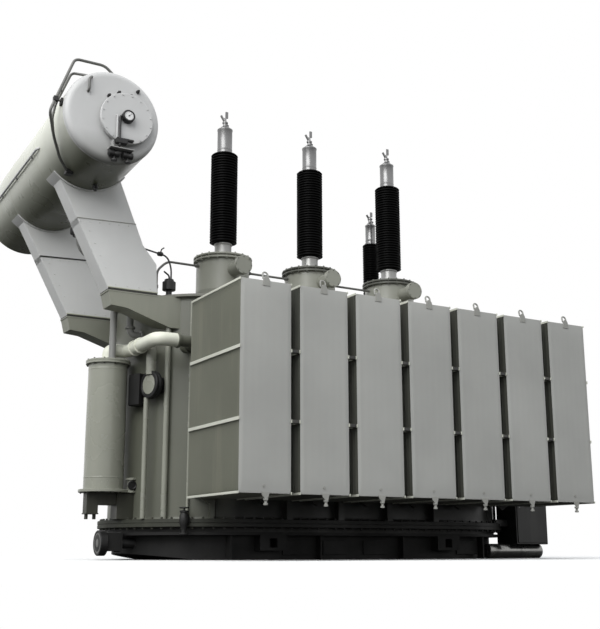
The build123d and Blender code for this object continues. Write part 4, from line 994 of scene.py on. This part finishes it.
valve_way = np.array([-0.966, -0.259, 0.0])
seat = np.array([-2.162, -0.651, 1.735])
disc_radius = 0.142
disc_profile = capped([(0.085, -0.02), (0.085, 0.006), (0.06, 0.01), (0.06, 0.074), (0.136, 0.076),
                       (disc_radius, 0.082), (disc_radius, 0.108), (0.138, 0.112), (0.138, 0.116),
                       (disc_radius, 0.12), (disc_radius, 0.145), (0.136, 0.151), (0.116, 0.151),
                       (0.112, 0.147)])
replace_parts(skin("round_valve_disc", [turned(disc_profile, seat, valve_way, 48)], dark_metal, "valve_black"),
            "round_valve")
face = turned(capped([(0.1, 0.146), (0.1, 0.149), (0.06, 0.151)]), seat, valve_way, 40)
skin("round_valve_face", [face], filter_paint, "valve_black")
riser = turned([(0.0, 0.1), (0.052, 0.1), (0.052, 0.385), (0.0, 0.39)], seat + valve_way * 0.125, (0, 0, 1),
               24)
drop_pipe = turned([(0.0, -1.335), (0.026, -1.335), (0.026, -0.13), (0.0, -0.125)],
                   seat + valve_way * 0.115 + [-0.03, 0.05, 0], (0, 0, 1), 16)
skin("round_valve_riser", [riser, drop_pipe], filter_paint)
wall_pipes = []
for degrees, radius in ((42.5, 0.03), (55.0, 0.014)):
    turn, reach = math.radians(degrees), 1.075 + radius
    wall_pipes.append(turned(rod(radius, 0.397, 2.6),
                             (-half_straight - reach * math.cos(turn), -reach * math.sin(turn), 0), sides=20))
skin("wall_risers", wall_pipes, filter_paint)
box_turn = math.radians(205)
wall_spot = np.array([-half_straight + tank_radius * math.cos(box_turn), tank_radius * math.sin(box_turn),
                      1.7])
rotation = np.array(Matrix.Rotation(box_turn, 3, "Z"))
thermometer = boxes([0.055, 0, 0], [0.13, 0.15, 0.33], 0.01) @ rotation.T + wall_spot
skin("thermometer_box", [thermometer], dark_metal, "valve_black", smooth=False)


# Cover valve and drain valve: black cast bodies with a bonnet, a stem and a handwheel or lever.
# A thin sampling pipe leads from the arm to the cover valve.

x, y = -2.1, -0.653
cover_valve = [turned(capped([(0.052, cover_top), (0.052, 2.694), (0.031, 2.697), (0.031, 2.748),
                              (0.066, 2.75), (0.07, 2.754), (0.07, 2.838), (0.066, 2.842), (0.049, 2.844),
                              (0.049, 2.866), (0.045, 2.87)]), (x, y, 0), sides=28),
               tube(bent([(x, y, 2.862), (x - 0.01, y - 0.02, 2.905), (x - 0.09, y - 0.08, 2.925)], 0.03),
                    0.009, 8)]
drain_reach, hand_z, hand_radius = 1.23, 0.498, 0.042
drain_turn = math.radians(235)
drain_x, drain_y = -half_straight + drain_reach * math.cos(drain_turn), drain_reach * math.sin(drain_turn)
drain_way = np.array([math.cos(drain_turn), math.sin(drain_turn), 0])
drain_valve = [turned([(0.0, 0.24), (0.04, 0.24), (0.044, 0.244), (0.044, 0.258), (0.026, 0.262),
                       (0.026, 0.3), (0.04, 0.33), (0.046, 0.37), (0.046, 0.42), (0.036, 0.44),
                       (0.036, 0.452), (0.044, 0.456), (0.044, 0.47), (0.016, 0.474), (0.008, 0.478),
                       (0.008, 0.506), (0.0, 0.508)], (drain_x, drain_y, 0), sides=24),
               turned([(0.0, -0.17), (0.038, -0.17), (0.038, -0.055), (0.05, -0.053), (0.052, -0.049),
                       (0.052, -0.038), (0.0, -0.036)], (drain_x, drain_y, 0.385), drain_way, 24)]
hand_turn = np.linspace(0, tau, 25)
hand_ring = np.column_stack([drain_x + hand_radius * np.cos(hand_turn),
                             drain_y + hand_radius * np.sin(hand_turn), np.full(25, hand_z)])
spokes = [tube([(drain_x - hand_radius * c, drain_y - hand_radius * s, hand_z), (drain_x, drain_y, 0.5),
                (drain_x + hand_radius * c, drain_y + hand_radius * s, hand_z)], 0.004, 6)
          for c, s in ((1, 0), (0.5, 0.866), (-0.5, 0.866))]
drain_valve += [tube(hand_ring, 0.006, 8, ends=False)] + spokes
sampling = bent([(-2.46, -0.69, 3.165), (-2.3, -0.675, 3.14), (-2.13, -0.655, 3.12), (x + 0.02, y, 3.0),
                 (x + 0.02, y, 2.86)], 0.1)
cock = turned(capped([(0.016, -0.03), (0.024, -0.02), (0.024, 0.02), (0.016, 0.03)]), (-2.215, -0.664, 3.13),
              (1, 0, 0), 12)
lever = tube([(-2.215, -0.664, 3.13), (-2.215, -0.7, 3.17), (-2.19, -0.712, 3.19)], 0.007, 8)
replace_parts(skin("cover_and_drain_valves", cover_valve + drain_valve, dark_metal, "valve_black"), "valves")
skin("sampling_pipe", [tube(sampling, 0.009, 10), cock, lever], dark_metal, "valve_black")


# Gas pipe: a thin tube that collects gas from the turrets and leads it down to the cover.
# Unions join it at each turret and at the cover.

gas_x, gas_z = -1.983, 3.265
gas_way = bent([(gas_x, 0, 2.682), (gas_x, 0, 3.145), (-1.863, 0, gas_z), (0.866, 0, gas_z)], 0.06)
union_profile = capped([(0.019, -0.02), (0.022, -0.014), (0.022, 0.014), (0.019, 0.02)])
unions = [turned(union_profile, (gas_x, 0, z), sides=6) for z in (2.705, 2.96)]
unions += [turned(union_profile, (x, 0, gas_z), (1, 0, 0), 6) for x in (-1.5, -0.83, -0.33, 0.33)]
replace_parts(skin("gas_pipe_run", [tube(gas_way, 0.0135, 12)] + unions, rail_paint), "gas_pipe")


# Wheel and skid bar: a rolled steel wheel on an axle at the left end, a round bar at the right end.
# They are for hauling the transformer onto its foundation, and are worn bright at the rims.

skid_metal = painted("worn steel", (0.3, 0.3, 0.29), dust=(0.03, 0.03, 0.027), dirt=0.8, rough=0.22,
                     metal=0.9)
face_paint = painted("wheel face paint", (0.17, 0.17, 0.16), dust=(0.06, 0.06, 0.05), dirt=0.5)
wheel_at = (-2.645, -0.3, 0.165)
wheel_radius, bar_radius = 0.125, 0.082
tread = turned(capped([(0.04, 0.012), (0.043, 0.0), (0.1, 0.004), (0.104, 0.001), (0.12, 0.001),
                       (wheel_radius, 0.006), (wheel_radius, 0.074), (0.12, 0.079), (0.104, 0.079),
                       (0.1, 0.07), (0.05, 0.07), (0.046, 0.079)]), wheel_at, (1, 0, 0), 48)
axle = turned(rod(0.055, 0.07, 0.445), wheel_at, (1, 0, 0), 28)
bar = turned(capped([(0.076, 1.831), (bar_radius, 1.837), (bar_radius, 1.99), (0.08, 1.993), (0.08, 1.999),
                     (bar_radius, 2.002), (bar_radius, 2.624), (0.076, 2.6305), (0.02, 2.6305),
                     (0.018, 2.62)]), (0, -0.899, bar_radius), (1, 0, 0), 40)
skin("wheel_tread", [tread, axle], dark_metal, "roller_steel")
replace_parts(skin("skid_bar", [bar], skid_metal, "roller_steel"), "skid_rollers")
face = turned([(0.0, -0.0005), (0.03, -0.0005), (0.044, 0.003), (0.098, 0.003), (0.098, 0.006), (0.0, 0.014)],
              wheel_at, (1, 0, 0), 40)
skin("wheel_face", [face], face_paint, "roller_steel")
fork = boxes([[-2.49, -0.385, 0.175], [-2.49, -0.215, 0.175], [-2.425, -0.3, 0.175]],
             [[0.15, 0.018, 0.18], [0.15, 0.018, 0.18], [0.02, 0.2, 0.2]], 0.003)
skin("wheel_fork", [fork], dark_paint, "base_paint", smooth=False)


# Control cabinet: a folded sheet-steel box with one door, hung on two short beams from the tank.
# The door has three hinges, a handle and a lock, and a roof plate stands out over it.

cabinet_paint = painted("cabinet paint", (0.012, 0.012, 0.011), dust=(0.07, 0.068, 0.058), dirt=0.3,
                        rough=0.35)
box_parts = [boxes([2.391, -0.897, 0.645], [0.476, 0.344, 0.978], 0.006),
             boxes([2.39, -0.899, 1.145], [0.479, 0.358, 0.018]),
             boxes([2.391, -1.073, 0.64], [0.44, 0.01, 0.93], 0.003),
             boxes([[2.075, -0.88, 0.4], [2.075, -0.88, 0.95]], [0.19, 0.08, 0.08])]
cabinet = skin("cabinet_box", box_parts, cabinet_paint, "valve_black", smooth=False)
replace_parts(cabinet, "control_cabinet")
fittings = [turned(rod(0.009, -0.035, 0.035), (2.6, -1.069, level), sides=10) for level in (0.3, 0.64, 0.98)]
handle = boxes([2.205, -1.0745, 0.66], [0.022, 0.007, 0.12], 0.002)
lock = turned([(0.0, -0.004), (0.012, -0.004), (0.012, 0.002), (0.0, 0.004)], (2.205, -1.075, 0.58),
              (0, -1, 0), 12)
skin("cabinet_fittings", fittings + [handle, lock], skid_metal, "valve_black")
